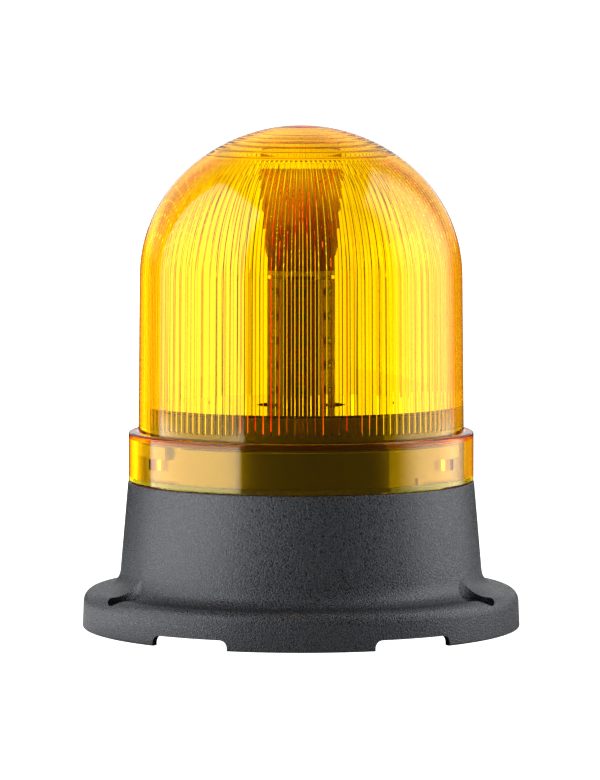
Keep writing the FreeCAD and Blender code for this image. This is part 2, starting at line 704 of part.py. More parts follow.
def varistor():
    """Disc varistor standing on two legs."""
    centre = BOARD_TOP + VARISTOR_LIFT + VARISTOR_RADIUS
    start = FreeCAD.Vector(0, -VARISTOR_CIRCLE_RADIUS - VARISTOR_THICKNESS / 2, centre)
    disc = Part.makeCylinder(VARISTOR_RADIUS, VARISTOR_THICKNESS, start, FreeCAD.Vector(0, 1, 0))
    legs = []
    for side in (-1, 1):
        leg = post(VARISTOR_LEG_RADIUS, VARISTOR_LIFT + VARISTOR_RADIUS, VARISTOR_CIRCLE_RADIUS, BOARD_TOP)
        leg.translate(FreeCAD.Vector(side * VARISTOR_LEG_SPREAD, 0, 0))
        legs.append(leg)
    return turned(disc.fuse(legs), VARISTOR_BEARING)


def side_bearings():
    """Bearings of the tower's flats, the first at the front."""
    return [index * 360.0 / TOWER_SIDES for index in range(TOWER_SIDES)]


def tower_core():
    """Many-sided bored pillar on a round foot."""
    corner = TOWER_FLATS / 2 / math.cos(math.pi / TOWER_SIDES)
    half_step = 180.0 / TOWER_SIDES
    corners = [bearing_point(corner, bearing + half_step, BOARD_TOP) for bearing in side_bearings()]
    outline = Part.makePolygon(corners + corners[:1])
    pillar = Part.Face(outline).extrude(UP * (TOWER_TOP_HEIGHT - BOARD_TOP))
    foot = Part.makeCylinder(TOWER_FOOT_RADIUS, TOWER_FOOT_HEIGHT, FreeCAD.Vector(0, 0, BOARD_TOP))
    bore = Part.makeCylinder(
        TOWER_BORE_RADIUS, TOWER_TOP_HEIGHT - BOARD_TOP, FreeCAD.Vector(0, 0, BOARD_TOP)
    )
    foot_hole = post(
        BOARD_SCREW_RADIUS + SEAT_CLEARANCE, TOWER_FOOT_HEIGHT, TOWER_SCREW_CIRCLE_RADIUS, BOARD_TOP
    )
    top_hole = post(
        TOP_SCREW_RADIUS + SEAT_CLEARANCE, TOP_SCREW_LENGTH - TOP_BOARD_THICKNESS,
        top_screw_circle(), TOWER_TOP_HEIGHT - TOP_SCREW_LENGTH + TOP_BOARD_THICKNESS,
    )
    cuts = [bore] + pattern(foot_hole, TOWER_SCREW_BEARINGS) + pattern(top_hole, top_screw_bearings())
    return pillar.fuse(foot).cut(cuts)


def top_screw_circle():
    """Circle of the top board's screws, midway in the pillar's wall."""
    return (TOWER_BORE_RADIUS + TOWER_FLATS / 2) / 2


def top_screw_bearings():
    """Bearings of the top board's two screws, midway between its lights and opposite each other."""
    first = 180.0 / TOP_LED_COUNT
    return [first, first + 180.0]


def tower_screws():
    """Screws through the tower's foot into the main board."""
    screw = slotted_screw(
        BOARD_SCREW_RADIUS, TOWER_FOOT_HEIGHT + BOARD_THICKNESS, SCREW_HEAD_RADIUS, SCREW_HEAD_HEIGHT,
        TOWER_SCREW_CIRCLE_RADIUS, TOWER_FOOT_TOP,
    )
    return Part.makeCompound(pattern(screw, TOWER_SCREW_BEARINGS))


def led_board():
    """Narrow circuit board on the tower's front flat."""
    bottom = TOWER_FOOT_TOP + LED_BOARD_MARGIN
    height = TOWER_TOP_HEIGHT - LED_BOARD_MARGIN - bottom
    circle = TOWER_FLATS / 2 + LED_BOARD_THICKNESS / 2
    return block(LED_BOARD_WIDTH, LED_BOARD_THICKNESS, height, circle, bottom)


def side_leds():
    """Column of light emitters on the front board."""
    bottom = TOWER_FOOT_TOP + LED_BOARD_MARGIN
    pitch = (TOWER_TOP_HEIGHT - LED_BOARD_MARGIN - bottom) / LED_ROWS
    circle = TOWER_FLATS / 2 + LED_BOARD_THICKNESS + LED_HEIGHT / 2
    leds = []
    for row in range(LED_ROWS):
        low = bottom + (row + 0.5) * pitch - LED_LENGTH / 2
        leds.append(block(LED_WIDTH, LED_HEIGHT, LED_LENGTH, circle, low))
    return Part.makeCompound(leds)


def top_board():
    """Round circuit board that closes the tower."""
    board = Part.makeCylinder(TOP_BOARD_RADIUS, TOP_BOARD_THICKNESS, FreeCAD.Vector(0, 0, TOWER_TOP_HEIGHT))
    hole = post(
        TOP_SCREW_RADIUS + SEAT_CLEARANCE, TOP_BOARD_THICKNESS, top_screw_circle(), TOWER_TOP_HEIGHT
    )
    return board.cut(pattern(hole, top_screw_bearings()))


def top_leds():
    """Ring of light emitters on the top board."""
    led = block(
        LED_LENGTH, LED_WIDTH, LED_HEIGHT, TOP_LED_CIRCLE_RADIUS, TOWER_TOP_HEIGHT + TOP_BOARD_THICKNESS
    )
    step = 360.0 / TOP_LED_COUNT
    return Part.makeCompound(pattern(led, [index * step for index in range(TOP_LED_COUNT)]))


def top_screws():
    """Screws that hold the top board on the pillar."""
    screw = slotted_screw(
        TOP_SCREW_RADIUS, TOP_SCREW_LENGTH, TOP_SCREW_HEAD_RADIUS, TOP_SCREW_HEAD_HEIGHT,
        top_screw_circle(), TOWER_TOP_HEIGHT + TOP_BOARD_THICKNESS,
    )
    return Part.makeCompound(pattern(screw, top_screw_bearings()))


def light_guide():
    """Flared guide on the top board's edge, hollowed under its foot to clear the emitters."""
    ceiling = GUIDE_SEAT + max(LED_HEIGHT, TOP_SCREW_HEAD_HEIGHT) + GUIDE_HEADROOM
    recess = TOP_BOARD_RADIUS - GUIDE_FOOT_WIDTH
    top = GUIDE_SEAT + GUIDE_HEIGHT
    corners = [
        (0, ceiling, 0),
        (recess, ceiling, 0),
        (recess, GUIDE_SEAT, 0),
        (TOP_BOARD_RADIUS, GUIDE_SEAT, 0),
        (GUIDE_TOP_RADIUS, top, GUIDE_ROUNDING),
        (0, top, 0),
    ]
    return turned_section(corners)


def board_cover():
    """Thin cover on the rim, over the main board and round the tower."""
    return sector(
        COVER_HOLE_RADIUS, COVER_RADIUS, INNER_RIM_TOP, INNER_RIM_TOP + COVER_THICKNESS, 360.0)


def supply_leads():
    """Two leads in the tower's bore, from the main board to the top board."""
    lead = post(LEAD_RADIUS, TOWER_TOP_HEIGHT - BOARD_TOP, LEAD_SPREAD, BOARD_TOP)
    return Part.makeCompound(pattern(lead, (0, 180)))


def main():
    """Builds every piece and writes it to a file of its own."""
    os.makedirs("parts", exist_ok=True)
    pieces = {
        "base_housing": base_housing(),
        "cable_grommet": cable_grommet(),
        "lens_gasket": lens_gasket(),
        "lens": lens(),
        "main_board": main_board(),
        "board_screws": board_screws(),
        "terminal_block": terminal_block(),
        "terminal_screws": terminal_screws(),
        "capacitor": capacitor(),
        "inductor": inductor(),
        "driver_chip": driver_chip(),
        "rectifier": rectifier(),
        "varistor": varistor(),
        "tower_core": tower_core(),
        "tower_screws": tower_screws(),
        "top_board": top_board(),
        "top_leds": top_leds(),
        "top_screws": top_screws(),
        "light_guide": light_guide(),
        "board_cover": board_cover(),
        "supply_leads": supply_leads(),
    }
    for index, bearing in enumerate(side_bearings(), start=1):
        pieces[f"led_board_{index}"] = turned(led_board(), bearing)
        pieces[f"side_leds_{index}"] = turned(side_leds(), bearing)
    for node, shape in pieces.items():
        shape.exportStep(f"parts/{node}.step")


main()
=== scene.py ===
import math
from typing import NamedTuple

import bmesh
import bpy
from bpy.props import FloatProperty, FloatVectorProperty, IntProperty, PointerProperty
from bpy.types import Operator, Panel, PropertyGroup
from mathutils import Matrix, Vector


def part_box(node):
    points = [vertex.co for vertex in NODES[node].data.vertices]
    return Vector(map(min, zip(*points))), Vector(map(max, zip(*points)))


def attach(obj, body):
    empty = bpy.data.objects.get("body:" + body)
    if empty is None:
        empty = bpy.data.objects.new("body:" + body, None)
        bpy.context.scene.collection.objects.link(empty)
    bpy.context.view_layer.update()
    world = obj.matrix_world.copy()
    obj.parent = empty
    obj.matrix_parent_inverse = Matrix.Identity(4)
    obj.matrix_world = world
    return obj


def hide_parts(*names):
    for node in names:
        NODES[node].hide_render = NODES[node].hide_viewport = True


bl_info = {
    "name": "Signal Beacon Finish",
    "version": (1, 0, 0),
    "blender": (4, 5, 0),
    "location": "View3D > Sidebar > Beacon",
    "description": "Models the fluted amber lens of a signal beacon and finishes its parts",
    "category": "Object",
}

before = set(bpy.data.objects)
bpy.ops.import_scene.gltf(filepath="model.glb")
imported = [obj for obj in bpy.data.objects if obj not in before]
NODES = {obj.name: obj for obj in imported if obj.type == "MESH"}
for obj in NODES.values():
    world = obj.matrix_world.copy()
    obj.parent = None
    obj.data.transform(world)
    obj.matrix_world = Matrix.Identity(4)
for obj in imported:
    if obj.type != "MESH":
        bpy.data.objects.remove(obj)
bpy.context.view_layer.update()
LENS_LOW, LENS_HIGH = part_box("lens")
AXIS = (0, 0, 1)
CENTRE = (0, 0, 0)
FRONT = math.radians(-90)
TINY = 1e-6
MERGE_DISTANCE = 2e-6
SHELL_FACE_ANGLE = math.radians(25)
# Degrees round the axis from the front.
LUG_BEARINGS = (-60, 60, 180)
ROUNDING_STEPS = 4
OUTER_DOME_STEPS = 12
INNER_DOME_STEPS = 10
COLOUR = {"size": 3, "subtype": "COLOR", "min": 0, "max": 1}


class LensSizes(PropertyGroup):
    """Sizes of the amber lens, in the beacon's own frame."""
    collar_radius: FloatProperty(
        name="Collar radius", description="Outside of the collar",
        default=0.0630, unit="LENGTH")
    collar_height: FloatProperty(
        name="Collar height", description="From the lens's lower edge to the collar's top",
        default=0.0179, unit="LENGTH")
    collar_rounding: FloatProperty(
        name="Collar rounding", description="Rounding of the collar's upper edge",
        default=0.0010, unit="LENGTH")
    collar_bore: FloatProperty(
        name="Collar bore", description="Inside radius of the collar, over the spigot",
        default=0.0600, unit="LENGTH")
    collar_roof: FloatProperty(
        name="Collar roof", description="Thickness of the step from the collar to the wall",
        default=0.0024, unit="LENGTH")
    rebate_radius: FloatProperty(
        name="Rebate radius", description="Room for the gasket at the lens's lower edge",
        default=0.06225, unit="LENGTH")
    rebate_height: FloatProperty(
        name="Rebate height", description="Height of the room for the gasket",
        default=0.0018, unit="LENGTH")
    foot_radius: FloatProperty(
        name="Wall foot radius", description="Outside of the wall where it leaves the collar",
        default=0.0594, unit="LENGTH")
    dome_radius: FloatProperty(
        name="Dome radius", description="Outside of the wall where the dome springs",
        default=0.0588, unit="LENGTH")
    spring_height: FloatProperty(
        name="Spring height", description="Height at which the wall turns into the dome",
        default=0.1278, unit="LENGTH")
    shoulder_radius: FloatProperty(
        name="Shoulder radius", description="Radius of the dome's shoulder in section",
        default=0.0525, unit="LENGTH")
    wall: FloatProperty(
        name="Wall", description="Thickness between the ribs", default=0.0026, unit="LENGTH")
    flute_start: FloatProperty(
        name="Flute start", description="Height at which the ribs begin",
        default=0.0738, unit="LENGTH")
    flute_count: IntProperty(
        name="Ribs", description="Ribs round the inside of the wall", default=128)
    flute_depth: FloatProperty(
        name="Rib depth", description="How far a rib stands in from the wall",
        default=0.0002, unit="LENGTH")
    flute_bulge: FloatProperty(
        name="Rib bulge", description="How far the flats bulge in their middle",
        default=0.000004, unit="LENGTH")
    rib_share: FloatProperty(
        name="Rib share", description="Part of the pitch that a rib's flat crest takes",
        default=0.34, subtype="FACTOR")
    flank_share: FloatProperty(
        name="Flank share", description="Part of the pitch that each sloping side takes",
        default=0.106, subtype="FACTOR")
    ring_zone: FloatProperty(
        name="Ring zone", description="Radius inside which the crown has rings instead of ribs",
        default=0.0345, unit="LENGTH")
    ring_pitch: FloatProperty(
        name="Ring pitch", description="Distance between the rings", default=0.0031, unit="LENGTH")
    ring_count: IntProperty(name="Rings", description="Rings inside the crown", default=9)
    ring_depth: FloatProperty(
        name="Ring depth", description="How far a ring stands in from the crown",
        default=0.0005, unit="LENGTH")
    ring_slope: FloatProperty(
        name="Ring slope", description="Half the run of a ring's sloping sides",
        default=0.00036, unit="LENGTH")
    lug_reach: FloatProperty(
        name="Lug reach", description="How far a bayonet lug stands in from the collar",
        default=0.0019, unit="LENGTH")
    lug_width: FloatProperty(
        name="Lug width", description="Width of a bayonet lug", default=0.0044, unit="LENGTH")
    lug_bottom: FloatProperty(
        name="Lug bottom", description="Height of a lug's lower side", default=0.0595, unit="LENGTH")
    lug_top: FloatProperty(
        name="Lug top", description="Height of a lug's upper side", default=0.0635, unit="LENGTH")


class EmitterSizes(PropertyGroup):
    """Sizes of one light emitter on the tower's sides."""
    length: FloatProperty(
        name="Length", description="Height of an emitter on its board", default=0.0028, unit="LENGTH")
    rows: IntProperty(name="Rows", description="Emitters on each side", default=6)
    sides: IntProperty(name="Sides", description="Sides of the tower", default=6)
    chamfer: FloatProperty(
        name="Chamfer", description="Edges of the package", default=0.00012, unit="LENGTH")
    rim: FloatProperty(
        name="Rim", description="Width round the resin window", default=0.00040, unit="LENGTH")
    recess: FloatProperty(
        name="Recess", description="Depth of the resin window", default=0.00025, unit="LENGTH")
    resin_rise: FloatProperty(
        name="Resin rise", description="How far the resin bulges out of its window's floor",
        default=0.00018, unit="LENGTH")
    resin_taper: FloatProperty(
        name="Resin taper", description="Size of the resin's top against its foot",
        default=0.72, subtype="FACTOR")


class HousingSizes(PropertyGroup):
    """Where the base's finish changes."""
    spigot_top: FloatProperty(
        name="Spigot top", description="Where the smooth spigot ends and the matt rim starts",
        default=0.0685, unit="LENGTH")
    deck: FloatProperty(
        name="Deck", description="Just under the deck's upper side", default=0.0625, unit="LENGTH")
    rim_bore: FloatProperty(
        name="Rim bore", description="Just over the radius inside the rim",
        default=0.0531, unit="LENGTH")


class FinishColours(PropertyGroup):
    """Colours of the beacon's finishes."""
    amber_pass: FloatVectorProperty(
        name="Amber", description="Light that the lens lets through",
        default=(0.992, 0.949, 0.0), **COLOUR)
    amber_strength: FloatProperty(
        name="Amber strength", description="How fast the lens takes up light, per metre",
        default=2200.0)
    housing: FloatVectorProperty(
        name="Housing", description="Grained grey plastic of the base",
        default=(0.030, 0.031, 0.035), **COLOUR)
    spigot: FloatVectorProperty(
        name="Spigot", description="Smooth plastic of the base under the lens's collar",
        default=(0.034, 0.034, 0.038), **COLOUR)
    rim: FloatVectorProperty(
        name="Rim", description="Matt rim behind the lowest ribs",
        default=(0.050, 0.034, 0.026), **COLOUR)
    # Painted light: this pale colour inside the rim stands in for the brightness at the foot of the
    # lens.
    painted_light_lining: FloatVectorProperty(
        name="Lining", description="Pale inside of the rim, which throws light up",
        default=(0.50, 0.47, 0.42), **COLOUR)
    cover: FloatVectorProperty(
        name="Cover", description="Polished cover over the main board",
        default=(0.030, 0.029, 0.028), **COLOUR)
    gasket: FloatVectorProperty(
        name="Gasket", description="Seal under the lens",
        default=(0.115, 0.066, 0.036), **COLOUR)
    grommet: FloatVectorProperty(
        name="Grommet", description="Rubber of the cable entry",
        default=(0.028, 0.027, 0.026), **COLOUR)
    board: FloatVectorProperty(
        name="Main board", description="Solder mask of the main board",
        default=(0.012, 0.07, 0.032), **COLOUR)
    tower: FloatVectorProperty(
        name="Tower", description="Dark brown of the tower and its boards",
        default=(0.13, 0.028, 0.012), **COLOUR)
    laminate: FloatVectorProperty(
        name="Laminate", description="Cut edges of the boards",
        default=(0.46, 0.3, 0.13), **COLOUR)
    guide_foot: FloatVectorProperty(
        name="Guide foot", description="Smoked light guide at its foot",
        default=(0.12, 0.030, 0.008), **COLOUR)
    # Painted light: the guide is lighter at its top to stand in for light falling on it from above.
    guide_top_painted_light: FloatVectorProperty(
        name="Guide top", description="Smoked light guide at its top",
        default=(0.75, 0.25, 0.03), **COLOUR)
    package: FloatVectorProperty(
        name="Emitter package", description="Moulded package of the emitters",
        default=(0.04, 0.036, 0.033), **COLOUR)
    resin: FloatVectorProperty(
        name="Emitter resin", description="Resin of the unlit emitters",
        default=(0.16, 0.075, 0.015), **COLOUR)
    steel: FloatVectorProperty(
        name="Steel", description="Plated screws and legs",
        default=(0.56, 0.55, 0.52), **COLOUR)
    copper: FloatVectorProperty(
        name="Copper", description="Lacquered winding of the inductor",
        default=(0.48, 0.19, 0.08), **COLOUR)
    can: FloatVectorProperty(
        name="Can", description="Bare end of the capacitor",
        default=(0.66, 0.67, 0.68), **COLOUR)
    sleeve: FloatVectorProperty(
        name="Sleeve", description="Sleeve of the capacitor",
        default=(0.02, 0.024, 0.042), **COLOUR)
    terminal: FloatVectorProperty(
        name="Terminal", description="Moulded terminal block",
        default=(0.03, 0.125, 0.05), **COLOUR)
    ferrite: FloatVectorProperty(
        name="Ferrite", description="Core of the inductor",
        default=(0.05, 0.046, 0.043), **COLOUR)
    epoxy: FloatVectorProperty(
        name="Epoxy", description="Moulded circuits",
        default=(0.024, 0.024, 0.025), **COLOUR)
    varistor: FloatVectorProperty(
        name="Varistor", description="Dipped epoxy of the varistor",
        default=(0.025, 0.09, 0.3), **COLOUR)
    lead: FloatVectorProperty(
        name="Lead", description="Insulation of the leads",
        default=(0.42, 0.022, 0.018), **COLOUR)


class StudioSettings(PropertyGroup):
    """Camera and light of the studio."""
    camera_distance: FloatProperty(
        name="Camera distance", description="From the beacon's axis to the camera",
        default=1.565, unit="LENGTH")
    camera_height: FloatProperty(
        name="Camera height", description="Above the floor", default=0.197, unit="LENGTH")
    aim_height: FloatProperty(
        name="Aim height", description="Height of the point in the middle of the picture",
        default=0.0862, unit="LENGTH")
    aim_side: FloatProperty(
        name="Aim side", description="How far right of the axis the camera stands and looks",
        default=-0.0004, unit="LENGTH")
    focal_pixels: FloatProperty(
        name="Focal length in pixels", description="Of a picture 780 pixels high", default=4298.0)
    softbox: FloatProperty(
        name="Softboxes", description="Brightness of the two tall softboxes", default=2.6)
    backdrop: FloatProperty(
        name="Backdrop", description="Brightness of the backdrop seen directly and through the lens",
        default=1.98)
    room: FloatProperty(
        name="Room", description="Brightness of the room on matt surfaces", default=0.1)
    inside: FloatProperty(
        name="Inside", description="Brightness of the room on matt surfaces inside the lens",
        default=0.5)
    left_glow: FloatProperty(
        name="Left glow", description="How much brighter the backdrop is at the far left", default=1.2)
    edge_glow: FloatProperty(
        name="Edge glow", description="How much brighter the backdrop is in the lens's upright edges",
        default=2.8)
    right_glow: FloatProperty(
        name="Right glow", description="How much brighter the backdrop is at the far right",
        default=1.1)
    overhead: FloatProperty(
        name="Overhead", description="Brightness of the softbox over the beacon", default=0.8)
    falloff: FloatProperty(
        name="Falloff", description="Share of the backdrop's brightness lost at its sides",
        default=0.5, subtype="FACTOR")
    skylight: FloatProperty(
        name="Skylight", description="Brightness high behind the beacon in mirrored rays",
        default=0.45)
    horizon: FloatProperty(
        name="Horizon", description="Brightness low behind the beacon in mirrored rays", default=0.6)
    floor_pool_glow: FloatProperty(
        name="Table", description="Brightness of the floor left of the beacon", default=2.1)
    gloom: FloatProperty(
        name="Gloom", description="Brightness of the room in mirrored rays", default=0.02)
    shade: FloatProperty(
        name="Shade", description="Brightness of the room in front, mirrored inside the lens",
        default=0.32)


def clear_selection():
    """Leaves object mode active and nothing selected."""
    if bpy.context.mode != "OBJECT":
        bpy.ops.object.mode_set(mode="OBJECT")
    bpy.ops.object.select_all(action="DESELECT")


def start_path(name, points):
    """Starts a piece as a chain of edges through (radius, height) points, in edit mode."""
    clear_selection()
    bpy.ops.mesh.primitive_plane_add(size=0.001)
    piece = bpy.context.object
    piece.name = name
    piece.data.name = name
    bpy.ops.object.mode_set(mode="EDIT")
    bpy.ops.mesh.select_all(action="SELECT")
    bpy.ops.mesh.merge(type="CENTER")
    first = points[0]
    bpy.ops.transform.translate(value=(first[0], 0, first[1]))
    for (radius, height), (next_radius, next_height) in zip(points, points[1:]):
        step = (next_radius - radius, 0, next_height - height)
        bpy.ops.mesh.extrude_vertices_move(TRANSFORM_OT_translate={"value": step})
    return piece


def turn_between(point, bearing):
    """Angle round the axis between a point and a bearing."""
    return abs(math.remainder(math.atan2(point.y, point.x) - bearing, 2 * math.pi))


def select_where(piece, kind, test):
    """Selects the vertices or the faces whose place passes a test, and nothing else, in edit mode."""
    bpy.ops.mesh.select_mode(type=kind)
    bpy.ops.mesh.select_all(action="DESELECT")
    mesh = bmesh.from_edit_mesh(piece.data)
    if kind == "FACE":
        chosen = [face for face in mesh.faces if test(face.calc_center_median())]
    else:
        chosen = [vertex for vertex in mesh.verts if test(vertex.co)]
    for element in chosen:
        element.select = True
    mesh.select_flush_mode()
    bmesh.update_edit_mesh(piece.data)


def close_shell():
    """Merges what meets and turns the faces outwards."""
    bpy.ops.mesh.select_mode(type="VERT")
    bpy.ops.mesh.select_all(action="SELECT")
    bpy.ops.mesh.remove_doubles(threshold=MERGE_DISTANCE)
    bpy.ops.mesh.normals_make_consistent(inside=False)


def settle(piece, body):
    """Leaves a piece in object mode, shaded and on its body."""
    bpy.ops.object.mode_set(mode="OBJECT")
    bpy.ops.object.shade_smooth_by_angle(angle=SHELL_FACE_ANGLE)
    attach(piece, body)


def finish_nodes(names, material):
    """Gives CAD nodes a finish."""
    for name in names:
        mesh = NODES[name].data
        mesh.materials.clear()
        mesh.materials.append(material)


def arc(centre_radius, centre_height, radius, start, end, steps):
    """Points of a section's arc, without its first one."""
    points = []
    for index in range(1, steps + 1):
        angle = start + (end - start) * index / steps
        points.append((
            centre_radius + radius * math.cos(angle), centre_height + radius * math.sin(angle)))
    return points


class LensSection:
    """The lens's section, worked out from its sizes and the frame."""

    def __init__(self, sizes):
        self.sizes = sizes
        self.bottom = LENS_LOW[2]
        self.collar_top = self.bottom + sizes.collar_height
        rise = LENS_HIGH[2] - sizes.spring_height
        offset = sizes.dome_radius - sizes.shoulder_radius
        self.offset = offset
        self.crown_radius = (offset ** 2 + rise ** 2 - sizes.shoulder_radius ** 2) / (
            2 * (rise - sizes.shoulder_radius))
        self.crown_centre = LENS_HIGH[2] - self.crown_radius
        self.crown_angle = math.atan2(sizes.spring_height - self.crown_centre, offset)

    def wall_radius(self, height):
        """Outside of the wall at a height."""
        sizes = self.sizes
        lean = (sizes.foot_radius - sizes.dome_radius) / (sizes.spring_height - self.collar_top)
        return sizes.foot_radius - (height - self.collar_top) * lean

    def crown_height(self, radius, inset):
        """Height of the crown's skin at a radius."""
        return self.crown_centre + math.sqrt((self.crown_radius - inset) ** 2 - radius ** 2)

    def depth(self, radius, height):
        """How deep under the lens's outside a point lies."""
        sizes = self.sizes
        if height <= sizes.spring_height:
            return self.wall_radius(height) - radius
        if math.atan2(height - self.crown_centre, radius) > self.crown_angle:
            return self.crown_radius - math.hypot(radius, height - self.crown_centre)
        return sizes.shoulder_radius - math.hypot(
            radius - self.offset, height - sizes.spring_height)

    def meridian(self, inset, bottom, end_radius, steps):
        """Points from a height on the wall up over the dome to a radius on the crown."""
        sizes = self.sizes
        end_angle = math.acos(end_radius / (self.crown_radius - inset))
        points = [
            (self.wall_radius(bottom) - inset, bottom),
            (sizes.dome_radius - inset, sizes.spring_height),
        ]
        points += arc(
            self.offset, sizes.spring_height, sizes.shoulder_radius - inset,
            0, self.crown_angle, steps)
        points += arc(
            0, self.crown_centre, self.crown_radius - inset, self.crown_angle, end_angle, steps)
        return points

    def rings(self):
        """Points of the crown's inside, from the axis out over its rings."""
        sizes = self.sizes
        crest = sizes.wall + sizes.ring_depth
        slope = sizes.ring_slope
        points = [(0.0, self.crown_height(0, crest))]
        for index in reversed(range(sizes.ring_count)):
            outer = sizes.ring_zone - index * sizes.ring_pitch
            inner = outer - sizes.ring_pitch / 2
            for radius, inset in (
                (inner - slope, crest), (inner + slope, sizes.wall),
                (outer - slope, sizes.wall), (outer + slope, crest),
            ):
                points.append((radius, self.crown_height(radius, inset)))
        return points[:-1]

    def outline(self):
        """Closed section: collar, outside, rings, inside and back to the collar's lower edge."""
        sizes = self.sizes
        rebate_top = self.bottom + sizes.rebate_height
        roof = self.collar_top - sizes.collar_roof
        skirt = self.wall_radius(sizes.flute_start) - sizes.wall
        edge = sizes.collar_rounding / 3
        rounding = sizes.collar_rounding
        points = [
            (sizes.collar_bore, sizes.lug_bottom),
            (sizes.collar_bore, rebate_top),
            (sizes.rebate_radius, rebate_top),
            (sizes.rebate_radius, self.bottom),
            (sizes.collar_radius - edge, self.bottom),
            (sizes.collar_radius, self.bottom + edge),
            (sizes.collar_radius, self.collar_top - rounding - edge),
            (sizes.collar_radius, self.collar_top - rounding),
        ]
        points += arc(
            sizes.collar_radius - rounding, self.collar_top - rounding, rounding,
            0, math.pi / 2, ROUNDING_STEPS)
        points += self.meridian(0, self.collar_top, 0, OUTER_DOME_STEPS)
        points += self.rings()
        points += reversed(
            self.meridian(sizes.wall, sizes.flute_start, sizes.ring_zone, INNER_DOME_STEPS))
        points += [
            (skirt, sizes.flute_start - sizes.flute_depth),
            (skirt, roof),
            (sizes.collar_bore, roof),
            (sizes.collar_bore, sizes.lug_top),
            (sizes.collar_bore, sizes.lug_bottom),
        ]
        return points


class BEACON_OT_lens(Operator):
    """Models the lens: one rib's pitch is spun from the section and repeated round the axis."""
    bl_idname = "beacon.lens"
    bl_label = "Fluted Lens"

    def execute(self, context):
        sizes = context.scene.beacon_lens
        section = LensSection(sizes)
        pitch = 2 * math.pi / sizes.flute_count
        flank = pitch * sizes.flank_share
        rib = pitch * sizes.rib_share
        land = pitch - rib - 2 * flank
        piece = start_path("lens_shell", section.outline())
        bpy.ops.mesh.select_all(action="SELECT")
        bpy.ops.transform.rotate(
            value=pitch / 2 - FRONT, orient_axis="Z", center_override=CENTRE)
        for angle in (land / 2, flank, rib / 2, rib / 2, flank, land / 2):
            bpy.ops.mesh.spin(steps=1, angle=-angle, center=CENTRE, axis=AXIS)
        self.turn_outwards(piece)
        self.raise_rib(piece, section, rib / 2)
        self.bulge_flats(piece, section, pitch / 2)
        bpy.ops.mesh.select_mode(type="VERT")
        bpy.ops.mesh.select_all(action="SELECT")
        bpy.ops.mesh.spin(
            steps=sizes.flute_count - 1, dupli=True, angle=2 * math.pi - pitch,
            center=CENTRE, axis=AXIS)
        close_shell()
        for bearing in LUG_BEARINGS:
            self.push_lug(piece, sizes, FRONT + math.radians(bearing))
        close_shell()
        piece.data.materials.append(amber_plastic())
        settle(piece, "lens")
        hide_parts("lens")
        return {"FINISHED"}

    def turn_outwards(self, piece):
        """Flips the pitch's faces if the collar's outside looks inwards."""
        mesh = bmesh.from_edit_mesh(piece.data)
        mesh.normal_update()
        outer = max(mesh.faces, key=lambda face: face.calc_center_median().xy.length)
        if outer.normal.xy.dot(outer.calc_center_median().xy) < 0:
            bpy.ops.mesh.select_all(action="SELECT")
            bpy.ops.mesh.flip_normals()

    def on_flutes(self, section, point):
        """Tells whether a point lies on the fluted inside."""
        sizes = section.sizes
        radius = point.xy.length
        return (section.depth(radius, point.z) > sizes.wall / 2
                and point.z > sizes.flute_start - TINY and radius > sizes.ring_zone - TINY)

    def raise_rib(self, piece, section, reach):
        """Moves the crest of one rib inwards from the wall."""
        select_where(piece, "FACE", lambda point: (
            self.on_flutes(section, point) and turn_between(point, FRONT) < reach))
        bpy.ops.transform.shrink_fatten(value=section.sizes.flute_depth)

    def bulge_flats(self, piece, section, reach):
        """Lifts the middle of the crest and of the flats beside it."""
        select_where(piece, "VERT", lambda point: (
            self.on_flutes(section, point)
            and min(turn_between(point, FRONT), reach - turn_between(point, FRONT)) < TINY))
        bpy.ops.transform.shrink_fatten(value=section.sizes.flute_bulge)

    def push_lug(self, piece, sizes, bearing):
        """Extrudes one bayonet lug inwards from the collar."""
        reach = sizes.lug_width / 2 / sizes.collar_bore
        select_where(piece, "FACE", lambda point: (
            turn_between(point, bearing) < reach
            and abs(point.xy.length - sizes.collar_bore) < sizes.collar_rounding
            and sizes.lug_bottom < point.z < sizes.lug_top))
        inwards = (-sizes.lug_reach * math.cos(bearing), -sizes.lug_reach * math.sin(bearing), 0)
        bpy.ops.mesh.extrude_region_move(TRANSFORM_OT_translate={"value": inwards})


def feed(tree, socket, value):
    """Links a socket to another one, or sets it to a number, a vector or a colour."""
    if isinstance(value, bpy.types.NodeSocket):
        tree.links.new(value, socket)
    else:
        socket.default_value = value


def maths(tree, operation, *values):
    """Adds a maths node on sockets or numbers and returns its result."""
    node = tree.nodes.new("ShaderNodeMath")
    node.operation = operation
    for socket, value in zip(node.inputs, values):
        feed(tree, socket, value)
    return node.outputs["Value"]


def vectors(tree, operation, *values):
    """Adds a vector maths node on sockets or vectors and returns its outputs."""
    node = tree.nodes.new("ShaderNodeVectorMath")
    node.operation = operation
    for socket, value in zip(node.inputs, values):
        feed(tree, socket, value)
    return node.outputs


def mixed(tree, factor, first, second):
    """Adds a colour mix on sockets or opaque colours and returns its result."""
    node = tree.nodes.new("ShaderNodeMix")
    node.data_type = "RGBA"
    for name, value in (("Factor", factor), ("A", first), ("B", second)):
        feed(tree, node.inputs[name], value)
    return node.outputs["Result"]


def noise(tree, place, scale, detail):
    """Adds a noise texture at a place, with a number or a socket for its scale."""
    node = tree.nodes.new("ShaderNodeTexNoise")
    for name, value in (("Vector", place), ("Scale", scale), ("Detail", detail)):
        feed(tree, node.inputs[name], value)
    return node.outputs["Fac"]


def ramp(tree, value, low, high):
    """Spreads a value between two limits over nought to one."""
    node = tree.nodes.new("ShaderNodeMapRange")
    node.interpolation_type = "SMOOTHSTEP"
    for name, limit in (("Value", value), ("From Min", low), ("From Max", high)):
        feed(tree, node.inputs[name], limit)
    return node.outputs["Result"]


def band(tree, value, start, full, fade, end):
    """Rises to one from start to full, and falls back to nought from fade to end."""
    return maths(tree, "SUBTRACT", ramp(tree, value, start, full), ramp(tree, value, fade, end))


def opposite(tree, mask):
    """One where a mask is nought, and nought where it is one."""
    return maths(tree, "SUBTRACT", 1.0, mask)


